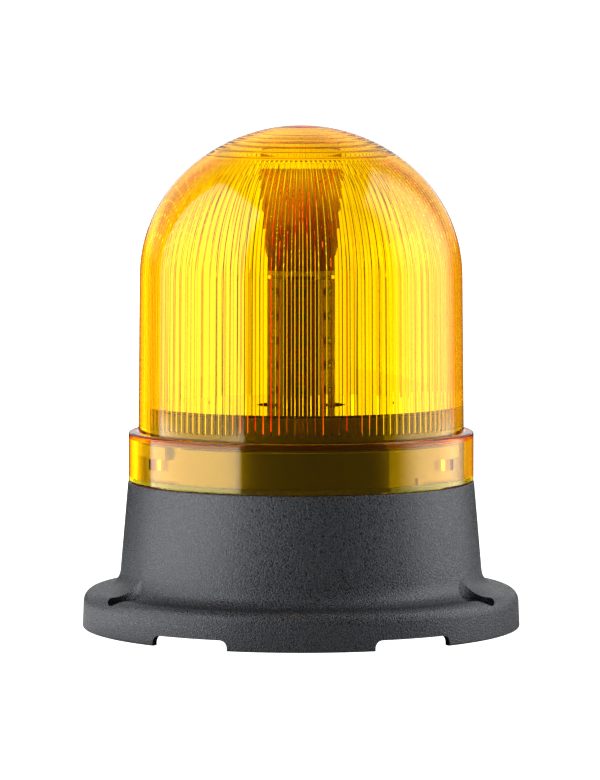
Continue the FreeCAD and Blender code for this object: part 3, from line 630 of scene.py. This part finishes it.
def product(tree, first, *others):
    """Multiplies sockets and numbers."""
    for other in others:
        first = maths(tree, "MULTIPLY", first, other)
    return first


def add_shares(tree, level, *shares):
    """Adds to a level each mask times its amount."""
    for mask, amount in shares:
        level = maths(tree, "MULTIPLY_ADD", mask, amount, level)
    return level


def axis_of(tree, vector, axis):
    """One axis of a vector."""
    node = tree.nodes.new("ShaderNodeSeparateXYZ")
    tree.links.new(vector, node.inputs["Vector"])
    return node.outputs[axis]


def flattened(tree, place):
    """A place without its height."""
    return vectors(tree, "MULTIPLY", place, (1, 1, 0))["Vector"]


def object_place(tree):
    """Place on the piece, in the beacon's own frame."""
    return tree.nodes.new("ShaderNodeTexCoord").outputs["Object"]


def opaque(colour, strength=1.0):
    """A colour with full alpha, darker or lighter by a factor."""
    return [channel * strength for channel in colour] + [1]


def new_material(name):
    """Node material that holds only a Principled shader and its output."""
    material = bpy.data.materials.new(name)
    material.use_nodes = True
    nodes = material.node_tree.nodes
    nodes.clear()
    output = nodes.new("ShaderNodeOutputMaterial")
    shader = nodes.new("ShaderNodeBsdfPrincipled")
    material.node_tree.links.new(shader.outputs["BSDF"], output.inputs["Surface"])
    return material


def shader_inputs(material):
    """Inputs of a material's Principled shader."""
    return material.node_tree.nodes["Principled BSDF"].inputs


def source_of(socket):
    """The socket that feeds another one."""
    return socket.links[0].from_socket


def new_group(name, floats, colours, outputs):
    """Empty shader group with its entry and its exit."""
    group = bpy.data.node_groups.new(name, "ShaderNodeTree")
    for title, kind, direction in (
        [(title, "Float", "INPUT") for title in floats]
        + [(title, "Color", "INPUT") for title in colours]
        + [(title, kind, "OUTPUT") for title, kind in outputs]
    ):
        group.interface.new_socket(title, in_out=direction, socket_type=f"NodeSocket{kind}")
    return group, group.nodes.new("NodeGroupInput").outputs, group.nodes.new("NodeGroupOutput").inputs


def grain_group():
    """Moulded grain: a fine pebbled height, a slow change of tone, and bright specks in the colour
    that are partly grain and partly painted glints.
    """
    group = bpy.data.node_groups.get("Moulded Grain")
    if group:
        return group
    group, entry, leave = new_group(
        "Moulded Grain", ("Pebbles", "Cloud", "Spread", "Least Roughness"), ("Low", "High"),
        (("Height", "Float"), ("Color", "Color"), ("Roughness", "Float")))
    place = object_place(group)
    pebbles = ramp(group, noise(group, place, entry["Pebbles"], detail=2.0), low=0.36, high=0.64)
    cloud = noise(group, place, entry["Cloud"], detail=4.0)
    # The pebbles' bright specks in the colour are painted glints as well as grain.
    grain_and_painted_glints = maths(group, "POWER", pebbles, 1.6)
    painted_glint_share = 0.8
    tone = add_shares(group, product(group, cloud, 1 - painted_glint_share), (grain_and_painted_glints, painted_glint_share))
    roughness = add_shares(group, entry["Least Roughness"], (tone, entry["Spread"]))
    group.links.new(pebbles, leave["Height"])
    group.links.new(mixed(group, tone, entry["Low"], entry["High"]), leave["Color"])
    group.links.new(roughness, leave["Roughness"])
    return group


def board_group():
    """Board laminate: solder mask over copper tracks on the faces, bare fibre at the cut edges."""
    group = bpy.data.node_groups.get("Board Laminate")
    if group:
        return group
    group, entry, leave = new_group(
        "Board Laminate", ("Face",), ("Mask", "Track", "Edge"),
        (("Height", "Float"), ("Color", "Color"), ("Roughness", "Float")))
    place = object_place(group)
    tracks = None
    for direction in ("X", "Y", "Z"):
        wave = group.nodes.new("ShaderNodeTexWave")
        wave.bands_direction = direction
        wave.inputs["Scale"].default_value = 190.0
        wave.inputs["Distortion"].default_value = 0.0
        group.links.new(place, wave.inputs["Vector"])
        lines = ramp(group, wave.outputs["Fac"], low=0.62, high=0.72)
        # Each direction reads the noise elsewhere, so that its tracks have areas of their own.
        elsewhere = vectors(group, "ADD", place, (0.1 * ord(direction), 0.0, 0.0))["Vector"]
        area = ramp(group, noise(group, elsewhere, scale=70.0, detail=1.0), low=0.53, high=0.55)
        run = product(group, lines, area)
        tracks = run if tracks is None else maths(group, "MAXIMUM", tracks, run)
    weave = noise(group, place, scale=1800.0, detail=2.0)
    masked = mixed(group, tracks, entry["Mask"], entry["Track"])
    fibre = mixed(group, product(group, weave, 0.5), entry["Edge"], entry["Mask"])
    group.links.new(mixed(group, entry["Face"], fibre, masked), leave["Color"])
    group.links.new(add_shares(group, tracks, (weave, 0.25)), leave["Height"])
    group.links.new(add_shares(group, 0.30, (weave, 0.2)), leave["Roughness"])
    return group


def add_group(material, group, bump, relief):
    """Places a group in a material and feeds the shader from it; returns the group's inputs."""
    tree = material.node_tree
    shader = shader_inputs(material)
    finish = tree.nodes.new("ShaderNodeGroup")
    finish.node_tree = group
    height = tree.nodes.new("ShaderNodeBump")
    height.inputs["Strength"].default_value = bump
    height.inputs["Distance"].default_value = relief
    tree.links.new(finish.outputs["Height"], height.inputs["Height"])
    tree.links.new(height.outputs["Normal"], shader["Normal"])
    tree.links.new(finish.outputs["Color"], shader["Base Color"])
    tree.links.new(finish.outputs["Roughness"], shader["Roughness"])
    return finish.inputs


def grained(
    name, colour, pebbles=1500.0, contrast=0.25, bump=0.35, least=0.3, spread=0.2, relief=0.00006):
    """Grained surface in one colour."""
    material = new_material(name)
    grain = add_group(material, grain_group(), bump, relief)
    grain["Pebbles"].default_value = pebbles
    grain["Cloud"].default_value = 30.0
    grain["Spread"].default_value = spread
    grain["Least Roughness"].default_value = least
    grain["Low"].default_value = opaque(colour, 1 - contrast)
    grain["High"].default_value = opaque(colour, 1 + contrast)
    return material


def metal(name, colour, least=0.22):
    """Bare or plated metal with faint marks."""
    material = grained(name, colour, pebbles=2600.0, contrast=0.12, bump=0.08, least=least)
    shader_inputs(material)["Metallic"].default_value = 1.0
    return material


def banded(name, colour, band_colour, low, high, least=0.3):
    """Grained surface whose heights from low to high are metal in another colour."""
    material = grained(name, colour, pebbles=1800.0, contrast=0.2, bump=0.12, least=least)
    tree = material.node_tree
    shader = shader_inputs(material)
    place = object_place(tree)
    height = axis_of(tree, place, "Z")
    inside = product(
        tree, maths(tree, "GREATER_THAN", height, low), maths(tree, "LESS_THAN", height, high))
    shade = noise(tree, place, scale=2400.0, detail=2.0)
    marked = mixed(tree, shade, opaque(band_colour, 0.7), opaque(band_colour))
    tree.links.new(
        mixed(tree, inside, source_of(shader["Base Color"]), marked), shader["Base Color"])
    tree.links.new(inside, shader["Metallic"])
    return material


def circuit_board(name, colour, upright):
    """Masked board: its faces look up and down, or away from the axis where it stands upright."""
    material = new_material(name)
    tree = material.node_tree
    finish = add_group(material, board_group(), bump=0.25, relief=0.0001)
    finish["Mask"].default_value = opaque(colour)
    finish["Track"].default_value = opaque(colour, 1.8)
    finish["Edge"].default_value = opaque(bpy.context.scene.beacon_colours.laminate)
    coordinates = tree.nodes.new("ShaderNodeTexCoord").outputs
    if upright:
        outwards = vectors(tree, "NORMALIZE", flattened(tree, coordinates["Object"]))["Vector"]
        facing = vectors(tree, "DOT_PRODUCT", outwards, coordinates["Normal"])["Value"]
    else:
        facing = axis_of(tree, coordinates["Normal"], "Z")
    square_on = 0.7
    face = maths(tree, "GREATER_THAN", maths(tree, "ABSOLUTE", facing), square_on)
    tree.links.new(face, finish["Face"])
    return material


def smoked_plastic_with_painted_light(name, foot, top, low, high):
    """Satin smoked plastic whose colour lightens from a low to a high level, as painted light from
    above, and which clears near the high one.
    """
    clear_from = 0.4 * low + 0.6 * high
    clear_share = 0.2
    top_face = high - 0.0002
    most_clear = 0.9
    material = new_material(name)
    tree = material.node_tree
    shader = shader_inputs(material)
    place = object_place(tree)
    height = axis_of(tree, place, "Z")
    cloud = noise(tree, place, scale=60.0, detail=3.0)
    level = add_shares(tree, height, (cloud, 0.006))
    # Painted light: the colour lightens upwards where light from above would fall.
    painted_light_lift = ramp(tree, level, low, high)
    clear = product(tree, ramp(tree, level, clear_from, high), clear_share)
    backs = tree.nodes.new("ShaderNodeNewGeometry").outputs["Backfacing"]
    for mask in (maths(tree, "GREATER_THAN", height, top_face), backs):
        clear = maths(tree, "MAXIMUM", clear, mask)
    tree.links.new(mixed(tree, painted_light_lift, opaque(foot), opaque(top)), shader["Base Color"])
    tree.links.new(add_shares(tree, 1.0, (clear, -most_clear)), shader["Alpha"])
    tree.links.new(add_shares(tree, 0.34, (cloud, 0.2)), shader["Roughness"])
    shader["Specular IOR Level"].default_value = 0.1
    return material


def housing_plastic(colours, sizes, seat):
    """Grained plastic, smooth under the lens's collar, matt on the rim and pale inside it: the pale
    colour inside the rim is painted light, standing in for a bright band there.
    """
    spigot_roughness = 0.3
    rim_roughness = 0.55
    mottle = 0.8
    # The housing's strong grain contrast is partly painted glints.
    material = grained(
        "housing_grain", colours.housing, pebbles=1900.0, contrast=0.8, bump=1.0, least=0.22,
        spread=0.16, relief=0.00011)
    tree = material.node_tree
    shader = shader_inputs(material)
    shader["IOR"].default_value = 1.7
    shader["Specular IOR Level"].default_value = 1.0
    shader["Specular Tint"].default_value = (0.88, 0.93, 1.0, 1)
    place = object_place(tree)
    height = axis_of(tree, place, "Z")
    radius = vectors(tree, "LENGTH", flattened(tree, place))["Value"]
    below = maths(tree, "LESS_THAN", height, seat)
    above = maths(tree, "GREATER_THAN", height, sizes.spigot_top)
    # Inside the rim the colour is painted light: a pale lining that stands in for the brightness at
    # the foot of the lens.
    inside = product(
        tree, maths(tree, "LESS_THAN", radius, sizes.rim_bore),
        maths(tree, "GREATER_THAN", height, sizes.deck))
    cloud = noise(tree, place, scale=90.0, detail=3.0)
    spigot, rim, painted_light_lining = (
        mixed(tree, cloud, opaque(colour, mottle), opaque(colour))
        for colour in (colours.spigot, colours.rim, colours.painted_light_lining))
    smooth = mixed(tree, inside, mixed(tree, above, spigot, rim), painted_light_lining)
    tree.links.new(
        mixed(tree, below, smooth, source_of(shader["Base Color"])), shader["Base Color"])
    plain = add_shares(
        tree, spigot_roughness,
        (maths(tree, "MAXIMUM", above, inside), rim_roughness - spigot_roughness))
    rougher = maths(tree, "SUBTRACT", source_of(shader["Roughness"]), plain)
    tree.links.new(add_shares(tree, plain, (rougher, below)), shader["Roughness"])
    relief = tree.nodes["Bump"].inputs["Height"]
    tree.links.new(product(tree, source_of(relief), below), relief)
    return material


def amber_plastic():
    """Clear amber polycarbonate whose colour deepens with thickness."""
    colours = bpy.context.scene.beacon_colours
    material = new_material("amber_plastic")
    tree = material.node_tree
    shader = shader_inputs(material)
    shader["Base Color"].default_value = (1, 1, 1, 1)
    shader["Roughness"].default_value = 0.0
    shader["IOR"].default_value = 1.585
    shader["Transmission Weight"].default_value = 1.0
    depth = tree.nodes.new("ShaderNodeVolumeAbsorption")
    depth.inputs["Color"].default_value = opaque(colours.amber_pass)
    depth.inputs["Density"].default_value = colours.amber_strength
    tree.links.new(depth.outputs["Volume"], tree.nodes["Material Output"].inputs["Volume"])
    return material


class BEACON_OT_emitters(Operator):
    """Models one emitter, repeats it up the front board and copies the column to the other sides."""
    bl_idname = "beacon.emitters"
    bl_label = "Light Emitters"

    def execute(self, context):
        sizes = context.scene.beacon_emitter
        colours = context.scene.beacon_colours
        low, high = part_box("side_leds_1")
        piece = self.model_package(sizes, low, high)
        for material in (
            grained("emitter_package", colours.package, pebbles=3000.0, bump=0.1, least=0.35),
            grained("emitter_resin", colours.resin, pebbles=1200.0, bump=0.02, least=0.08, spread=0.1),
        ):
            piece.data.materials.append(material)
        self.sink_window(piece, sizes, low[1])
        bpy.ops.mesh.select_mode(type="VERT")
        bpy.ops.mesh.select_all(action="SELECT")
        pitch = (high[2] - low[2] - sizes.length) / (sizes.rows - 1)
        for _ in range(sizes.rows - 1):
            bpy.ops.mesh.duplicate_move(TRANSFORM_OT_translate={"value": (0, 0, pitch)})
        columns = [piece]
        for side in range(1, sizes.sides):
            columns.append(self.copy_column(piece, side * 2 * math.pi / sizes.sides))
        for number, column in enumerate(columns, start=1):
            clear_selection()
            column.select_set(True)
            context.view_layer.objects.active = column
            column.name = f"side_emitters_{number}"
            column.data.name = column.name
            settle(column, "base")
            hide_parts(f"side_leds_{number}")
        return {"FINISHED"}

    def model_package(self, sizes, low, high):
        """Starts the lowest emitter as a chamfered block, in edit mode."""
        clear_selection()
        bpy.ops.mesh.primitive_cube_add(size=1)
        piece = bpy.context.object
        bpy.ops.object.mode_set(mode="EDIT")
        bpy.ops.mesh.select_all(action="SELECT")
        bpy.ops.transform.resize(value=(high[0] - low[0], high[1] - low[1], sizes.length))
        bpy.ops.transform.translate(value=(
            (low[0] + high[0]) / 2, (low[1] + high[1]) / 2, low[2] + sizes.length / 2))
        bpy.ops.mesh.bevel(offset=sizes.chamfer, segments=2, affect="EDGES")
        bpy.ops.mesh.normals_make_consistent(inside=False)
        return piece

    def sink_window(self, piece, sizes, front):
        """Sinks the window into the package's front and fills it with bulging resin."""
        select_where(piece, "FACE", lambda point: point.y < front + TINY)
        bpy.ops.mesh.inset(thickness=sizes.rim, depth=0)
        bpy.ops.mesh.extrude_region_move(TRANSFORM_OT_translate={"value": (0, sizes.recess, 0)})
        piece.active_material_index = 1
        bpy.ops.object.material_slot_assign()
        bpy.ops.mesh.inset(thickness=sizes.rim / 4, depth=0)
        bpy.ops.mesh.extrude_region_move(
            TRANSFORM_OT_translate={"value": (0, -sizes.resin_rise, 0)})
        bpy.ops.transform.resize(value=(sizes.resin_taper, 1, sizes.resin_taper))

    def copy_column(self, piece, turn):
        """Copies the front column and turns it round the axis."""
        clear_selection()
        piece.select_set(True)
        bpy.context.view_layer.objects.active = piece
        bpy.ops.object.duplicate()
        copy = bpy.context.object
        bpy.ops.object.mode_set(mode="EDIT")
        bpy.ops.mesh.select_all(action="SELECT")
        bpy.ops.transform.rotate(value=-turn, orient_axis="Z", center_override=CENTRE)
        bpy.ops.object.mode_set(mode="OBJECT")
        return copy


class BEACON_OT_housing(Operator):
    """Finishes the grained base and its rubber parts."""
    bl_idname = "beacon.housing"
    bl_label = "Base Housing and Seals"

    def execute(self, context):
        colours = context.scene.beacon_colours
        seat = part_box("lens_gasket")[0][2]
        finish_nodes(
            ["base_housing"],
            housing_plastic(colours, context.scene.beacon_housing, seat - TINY))
        finish_nodes(
            ["lens_gasket"],
            grained("gasket_rubber", colours.gasket, pebbles=900.0, bump=0.2, least=0.55))
        finish_nodes(
            ["cable_grommet"],
            grained("grommet_rubber", colours.grommet, pebbles=700.0, bump=0.25, least=0.5))
        return {"FINISHED"}


class BEACON_OT_tower(Operator):
    """Finishes the light tower, its boards and its guide."""
    bl_idname = "beacon.tower"
    bl_label = "Light Tower"

    def execute(self, context):
        colours = context.scene.beacon_colours
        sides = range(1, context.scene.beacon_emitter.sides + 1)
        finish_nodes(
            ["tower_core"], grained("tower_brown", colours.tower, pebbles=700.0, bump=0.15))
        finish_nodes(["top_board"], circuit_board("top_board_mask", colours.tower, False))
        finish_nodes(
            [f"led_board_{side}" for side in sides],
            circuit_board("side_board_mask", colours.tower, True))
        finish_nodes(
            ["top_leds"],
            grained("top_emitter_resin", colours.resin, pebbles=1500.0, bump=0.05, least=0.1))
        finish_nodes(
            ["supply_leads"], grained("lead_sleeve", colours.lead, pebbles=900.0, bump=0.1))
        low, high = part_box("light_guide")
        finish_nodes(
            ["light_guide"],
            smoked_plastic_with_painted_light("guide_smoke", colours.guide_foot, colours.guide_top_painted_light, low[2], high[2]))
        return {"FINISHED"}


class BEACON_OT_cover(Operator):
    """Finishes the polished cover over the main board."""
    bl_idname = "beacon.cover"
    bl_label = "Board Cover"

    def execute(self, context):
        colours = context.scene.beacon_colours
        finish_nodes(
            ["board_cover"],
            grained(
                "cover_gloss", colours.cover, pebbles=500.0, contrast=0.15, bump=0.02,
                least=0.03, spread=0.04))
        return {"FINISHED"}


class BEACON_OT_circuit(Operator):
    """Finishes the main board, the parts on it and the screws."""
    bl_idname = "beacon.circuit"
    bl_label = "Main Board"

    def execute(self, context):
        colours = context.scene.beacon_colours
        finish_nodes(["main_board"], circuit_board("main_board_mask", colours.board, False))
        finish_nodes(
            ["board_screws", "tower_screws", "top_screws", "terminal_screws"],
            metal("plated_steel", colours.steel))
        finish_nodes(
            ["terminal_block"],
            grained("terminal_moulding", colours.terminal, pebbles=1400.0, bump=0.2))
        finish_nodes(
            ["rectifier"], grained("rectifier_epoxy", colours.epoxy, pebbles=2200.0, bump=0.3))
        for node, colour, metal_colour, foot, head, least in (
            ("capacitor", colours.sleeve, colours.can, 0.0092, 0.0100, 0.18),
            ("inductor", colours.ferrite, colours.copper, 0.0014, 0.0066, 0.40),
            ("driver_chip", colours.epoxy, colours.steel, -TINY, 0.00035, 0.35),
            ("varistor", colours.varistor, colours.steel, -TINY, 0.0012, 0.15),
        ):
            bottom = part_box(node)[0][2]
            finish_nodes(
                [node],
                banded(f"{node}_finish", colour, metal_colour, bottom + foot, bottom + head, least))
        return {"FINISHED"}


class TallSoftbox(NamedTuple):
    """A softbox beside the beacon.

    The bearing is in degrees from the front. The foot, middle and head are brightnesses up its
    face, and the side fade and head level are shares of the face's width and height.
    """
    name: str
    bearing: float
    width: float
    side_fade: float
    foot: float
    middle: float
    head: float
    head_level: float


TALL_SOFTBOXES = (
    TallSoftbox(
        "softbox_left", bearing=-78, width=1.43, side_fade=0.06,
        foot=1.1, middle=0.32, head=0.55, head_level=0.625),
    TallSoftbox(
        "softbox_right", bearing=102, width=1.33, side_fade=0.35,
        foot=1.0, middle=0.48, head=0.65, head_level=0.475),
)
TALL_HEIGHT = 2.0
TALL_DISTANCE = 0.85
TALL_MIDDLE = Vector((0, 0, 0.5))
# Levels on a tall softbox's face, as shares of its height.
FOOT_STEP = (0.252, 0.2625)
HEAD_START = 0.3
TOP_FADE = 0.1

OVERHEAD_PLACE = Vector((0, -0.35, 1.15))
OVERHEAD_AIM = Vector((0, 0, 0.1))
OVERHEAD_SIZE = (1.1, 0.8)

FLOOR_RADIUS = 0.3
# Share of the backdrop's white in the floor as the camera sees it.
FLOOR_GLOW = 0.8
# Where the pool of light on the floor starts and is full, left of the axis and in front of it.
POOL_LEFT = (0.05, 0.16)
POOL_AHEAD = (-0.1, 0.03)

# Zones of the backdrop and the room, as limits of a ray's direction along one axis.
FALLOFF_ZONE = (0.25, 0.45, 0.55, 0.75)
EDGE_ZONE = (0.2, 0.4, 0.6, 0.75)
STEEP_ZONE = (0.08, 0.25)
FAR_SIDE = (0.55, 0.9)
RIGHT_HALF = (-0.03, 0.03)
SKY_BEHIND = (0.45, 0.85)
SKY_ABOVE = (0.0, 0.2)
SILL_BEHIND = (0.9, 0.97)
SILL_ZONE = (0.03, 0.07, 0.12, 0.2)
# Rays mirrored in the lens that leave it more to the front than this meet the shade. On the right
# the limit is nearer the side by the second value.
DARK_FRONT = -0.7
DARK_FRONT_RIGHT = 0.24
# Shares lost on the right by the glow in the lens's edges and by the backdrop.
EDGE_RIGHT_LOSS = 0.75
RIGHT_LOSS = 0.2

# Lies between no bounce and one.
FIRST_BOUNCE = 0.5
SENSOR_HEIGHT = 36
PICTURE_HEIGHT = 780


def lens_rays(tree):
    """Light path, and masks of rays through the lens before a matt bounce and of unmirrored rays."""
    path = tree.nodes.new("ShaderNodeLightPath").outputs
    fresh = maths(tree, "LESS_THAN", path["Diffuse Depth"], FIRST_BOUNCE)
    straight = maths(tree, "LESS_THAN", path["Glossy Depth"], FIRST_BOUNCE)
    return path, product(tree, path["Is Transmission Ray"], fresh), straight


class BEACON_OT_stage(Operator):
    """Sets up the floor, the soft light and the camera."""
    bl_idname = "beacon.stage"
    bl_label = "Studio"

    def execute(self, context):
        scene = context.scene
        studio = scene.beacon_studio
        scene.view_settings.view_transform = "Standard"
        scene.cycles.max_bounces = 32
        scene.cycles.glossy_bounces = 24
        scene.cycles.transmission_bounces = 32
        self.set_world(scene, studio)
        self.add_floor(studio)
        for softbox in TALL_SOFTBOXES:
            angle = FRONT + math.radians(softbox.bearing)
            place = TALL_MIDDLE + TALL_DISTANCE * Vector((math.cos(angle), math.sin(angle), 0))
            box = self.add_softbox(
                softbox.name, place, TALL_MIDDLE, (softbox.width, TALL_HEIGHT), studio.softbox)
            self.shape_softbox(box.data, softbox)
        overhead = self.add_softbox(
            "softbox_overhead", OVERHEAD_PLACE, OVERHEAD_AIM, OVERHEAD_SIZE, studio.overhead)
        overhead.visible_glossy = False
        self.add_camera(scene, studio)
        return {"FINISHED"}

    def set_world(self, scene, studio):
        """White backdrop, a dimmer room on matt surfaces and a dark front in mirrored rays."""
        world = bpy.data.worlds.new("studio")
        scene.world = world
        world.use_nodes = True
        tree = world.node_tree
        background = tree.nodes["Background"].inputs
        background["Color"].default_value = (1, 1, 1, 1)
        path, through, straight = lens_rays(tree)
        direction = tree.nodes.new("ShaderNodeTexCoord").outputs["Generated"]
        x, y, z = (axis_of(tree, direction, axis) for axis in "XYZ")
        right = maths(tree, "GREATER_THAN", x, 0.0)
        front = add_shares(tree, y, (right, -DARK_FRONT_RIGHT))
        behind = maths(tree, "GREATER_THAN", front, DARK_FRONT)
        lit = product(tree, through, maths(tree, "MAXIMUM", straight, behind))
        seen = maths(tree, "MAXIMUM", path["Is Camera Ray"], lit)
        returned = maths(tree, "SUBTRACT", through, lit)
        inside = maths(tree, "SUBTRACT", path["Is Transmission Ray"], through)
        white = self.backdrop(tree, studio, x, z, right, straight)
        high = product(tree, ramp(tree, y, *SKY_BEHIND), ramp(tree, z, *SKY_ABOVE))
        sill = product(tree, band(tree, z, *SILL_ZONE), ramp(tree, y, *SILL_BEHIND))
        dusk = add_shares(
            tree, studio.gloom - studio.room, (high, studio.skylight), (sill, studio.horizon))
        level = add_shares(
            tree, studio.room, (seen, white), (returned, studio.shade - studio.room),
            (inside, studio.inside - studio.room), (path["Is Glossy Ray"], dusk))
        tree.links.new(level, background["Strength"])

    def backdrop(self, tree, studio, x, z, right, straight):
        """How much brighter than the room the backdrop is, over its width."""
        swing = maths(tree, "ABSOLUTE", x)
        steep = ramp(tree, maths(tree, "ABSOLUTE", z), *STEEP_ZONE)
        edge = product(
            tree, band(tree, swing, *EDGE_ZONE), opposite(tree, straight), opposite(tree, steep),
            add_shares(tree, 1.0, (right, -EDGE_RIGHT_LOSS)))
        far_left = ramp(tree, product(tree, x, -1.0), *FAR_SIDE)
        far_right = ramp(tree, x, *FAR_SIDE)
        return add_shares(
            tree, studio.backdrop - studio.room,
            (band(tree, swing, *FALLOFF_ZONE), -studio.falloff * studio.backdrop),
            (ramp(tree, x, *RIGHT_HALF), -RIGHT_LOSS * studio.backdrop),
            (far_left, studio.left_glow),
            (edge, studio.edge_glow),
            (far_right, studio.right_glow))

    def add_floor(self, studio):
        """Pale round floor that melts into the backdrop, with a pool of light at its left."""
        clear_selection()
        bpy.ops.mesh.primitive_circle_add(vertices=96, radius=FLOOR_RADIUS, fill_type="NGON")
        floor = bpy.context.object
        floor.name = "floor"
        material = new_material("pale_floor")
        tree = material.node_tree
        nodes = tree.nodes
        shader = shader_inputs(material)
        shader["Base Color"].default_value = (0.5, 0.5, 0.5, 1)
        shader["Roughness"].default_value = 0.8
        shader["Emission Color"].default_value = (1, 1, 1, 1)
        place = object_place(tree)
        left = ramp(tree, product(tree, axis_of(tree, place, "X"), -1.0), *POOL_LEFT)
        ahead = ramp(tree, product(tree, axis_of(tree, place, "Y"), -1.0), *POOL_AHEAD)
        # Painted light: the floor itself glows in a pool at its left.
        tree.links.new(product(tree, left, ahead, studio.floor_pool_glow), shader["Emission Strength"])
        glow = nodes.new("ShaderNodeEmission")
        glow.inputs["Strength"].default_value = studio.backdrop
        path, through, straight = lens_rays(tree)
        seen = maths(tree, "MAXIMUM", path["Is Camera Ray"], product(tree, through, straight))
        melt = nodes.new("ShaderNodeMixShader")
        tree.links.new(product(tree, seen, FLOOR_GLOW), melt.inputs["Fac"])
        tree.links.new(nodes["Principled BSDF"].outputs["BSDF"], melt.inputs[1])
        tree.links.new(glow.outputs["Emission"], melt.inputs[2])
        tree.links.new(melt.outputs["Shader"], nodes["Material Output"].inputs["Surface"])
        floor.data.materials.append(material)

    def add_softbox(self, name, place, aim, size, brightness):
        """Soft light that looks at a point and that the camera doesn't see."""
        light = bpy.data.lights.new(name, "AREA")
        light.shape = "RECTANGLE"
        light.size, light.size_y = size
        light.energy = brightness * math.pi * size[0] * size[1]
        box = bpy.data.objects.new(name, light)
        bpy.context.collection.objects.link(box)
        box.location = place
        box.rotation_euler = (aim - place).to_track_quat("-Z", "Y").to_euler()
        box.visible_camera = False
        return box

    def shape_softbox(self, light, softbox):
        """Sets how bright a tall softbox is up its face, and fades its sides and its top."""
        light.use_nodes = True
        tree = light.node_tree
        spot = tree.nodes.new("ShaderNodeNewGeometry").outputs["Parametric"]
        up = axis_of(tree, spot, "Y")
        from_side = maths(tree, "PINGPONG", axis_of(tree, spot, "X"), 0.5)
        level = add_shares(
            tree, softbox.foot,
            (ramp(tree, up, *FOOT_STEP), softbox.middle - softbox.foot),
            (ramp(tree, up, HEAD_START, softbox.head_level), softbox.head - softbox.middle))
        level = product(
            tree, level, ramp(tree, from_side, 0.0, softbox.side_fade),
            ramp(tree, opposite(tree, up), 0.0, TOP_FADE))
        tree.links.new(level, tree.nodes["Emission"].inputs["Strength"])

    def add_camera(self, scene, studio):
        """Camera at the photograph's place and angle."""
        data = bpy.data.cameras.new("camera")
        data.sensor_fit = "VERTICAL"
        data.sensor_height = SENSOR_HEIGHT
        data.lens = SENSOR_HEIGHT * studio.focal_pixels / PICTURE_HEIGHT
        camera = bpy.data.objects.new("camera", data)
        bpy.context.collection.objects.link(camera)
        camera.location = (studio.aim_side, -studio.camera_distance, studio.camera_height)
        aim = Vector((studio.aim_side, 0, studio.aim_height)) - camera.location
        camera.rotation_euler = aim.to_track_quat("-Z", "Y").to_euler()
        scene.camera = camera


class BEACON_PT_panel(Panel):
    """Lists the steps that finish the beacon."""
    bl_idname = "BEACON_PT_panel"
    bl_label = "Signal Beacon"
    bl_space_type = "VIEW_3D"
    bl_region_type = "UI"
    bl_category = "Beacon"

    def draw(self, context):
        for operator in OPERATORS:
            self.layout.operator(operator.bl_idname)


OPERATORS = (
    BEACON_OT_lens, BEACON_OT_emitters, BEACON_OT_housing, BEACON_OT_tower, BEACON_OT_cover,
    BEACON_OT_circuit, BEACON_OT_stage)
GROUPS = (
    ("beacon_lens", LensSizes),
    ("beacon_emitter", EmitterSizes),
    ("beacon_housing", HousingSizes),
    ("beacon_colours", FinishColours),
    ("beacon_studio", StudioSettings),
)


def register():
    for name, group in GROUPS:
        bpy.utils.register_class(group)
        setattr(bpy.types.Scene, name, PointerProperty(type=group))
    for item in OPERATORS + (BEACON_PT_panel,):
        bpy.utils.register_class(item)


def unregister():
    for item in reversed(OPERATORS + (BEACON_PT_panel,)):
        bpy.utils.unregister_class(item)
    for name, group in reversed(GROUPS):
        delattr(bpy.types.Scene, name)
        bpy.utils.unregister_class(group)


def main():
    """Finishes the beacon step by step."""
    register()
    bpy.ops.beacon.lens()
    bpy.ops.beacon.emitters()
    bpy.ops.beacon.housing()
    bpy.ops.beacon.tower()
    bpy.ops.beacon.cover()
    bpy.ops.beacon.circuit()
    bpy.ops.beacon.stage()


if __name__ == "__main__":
    main()
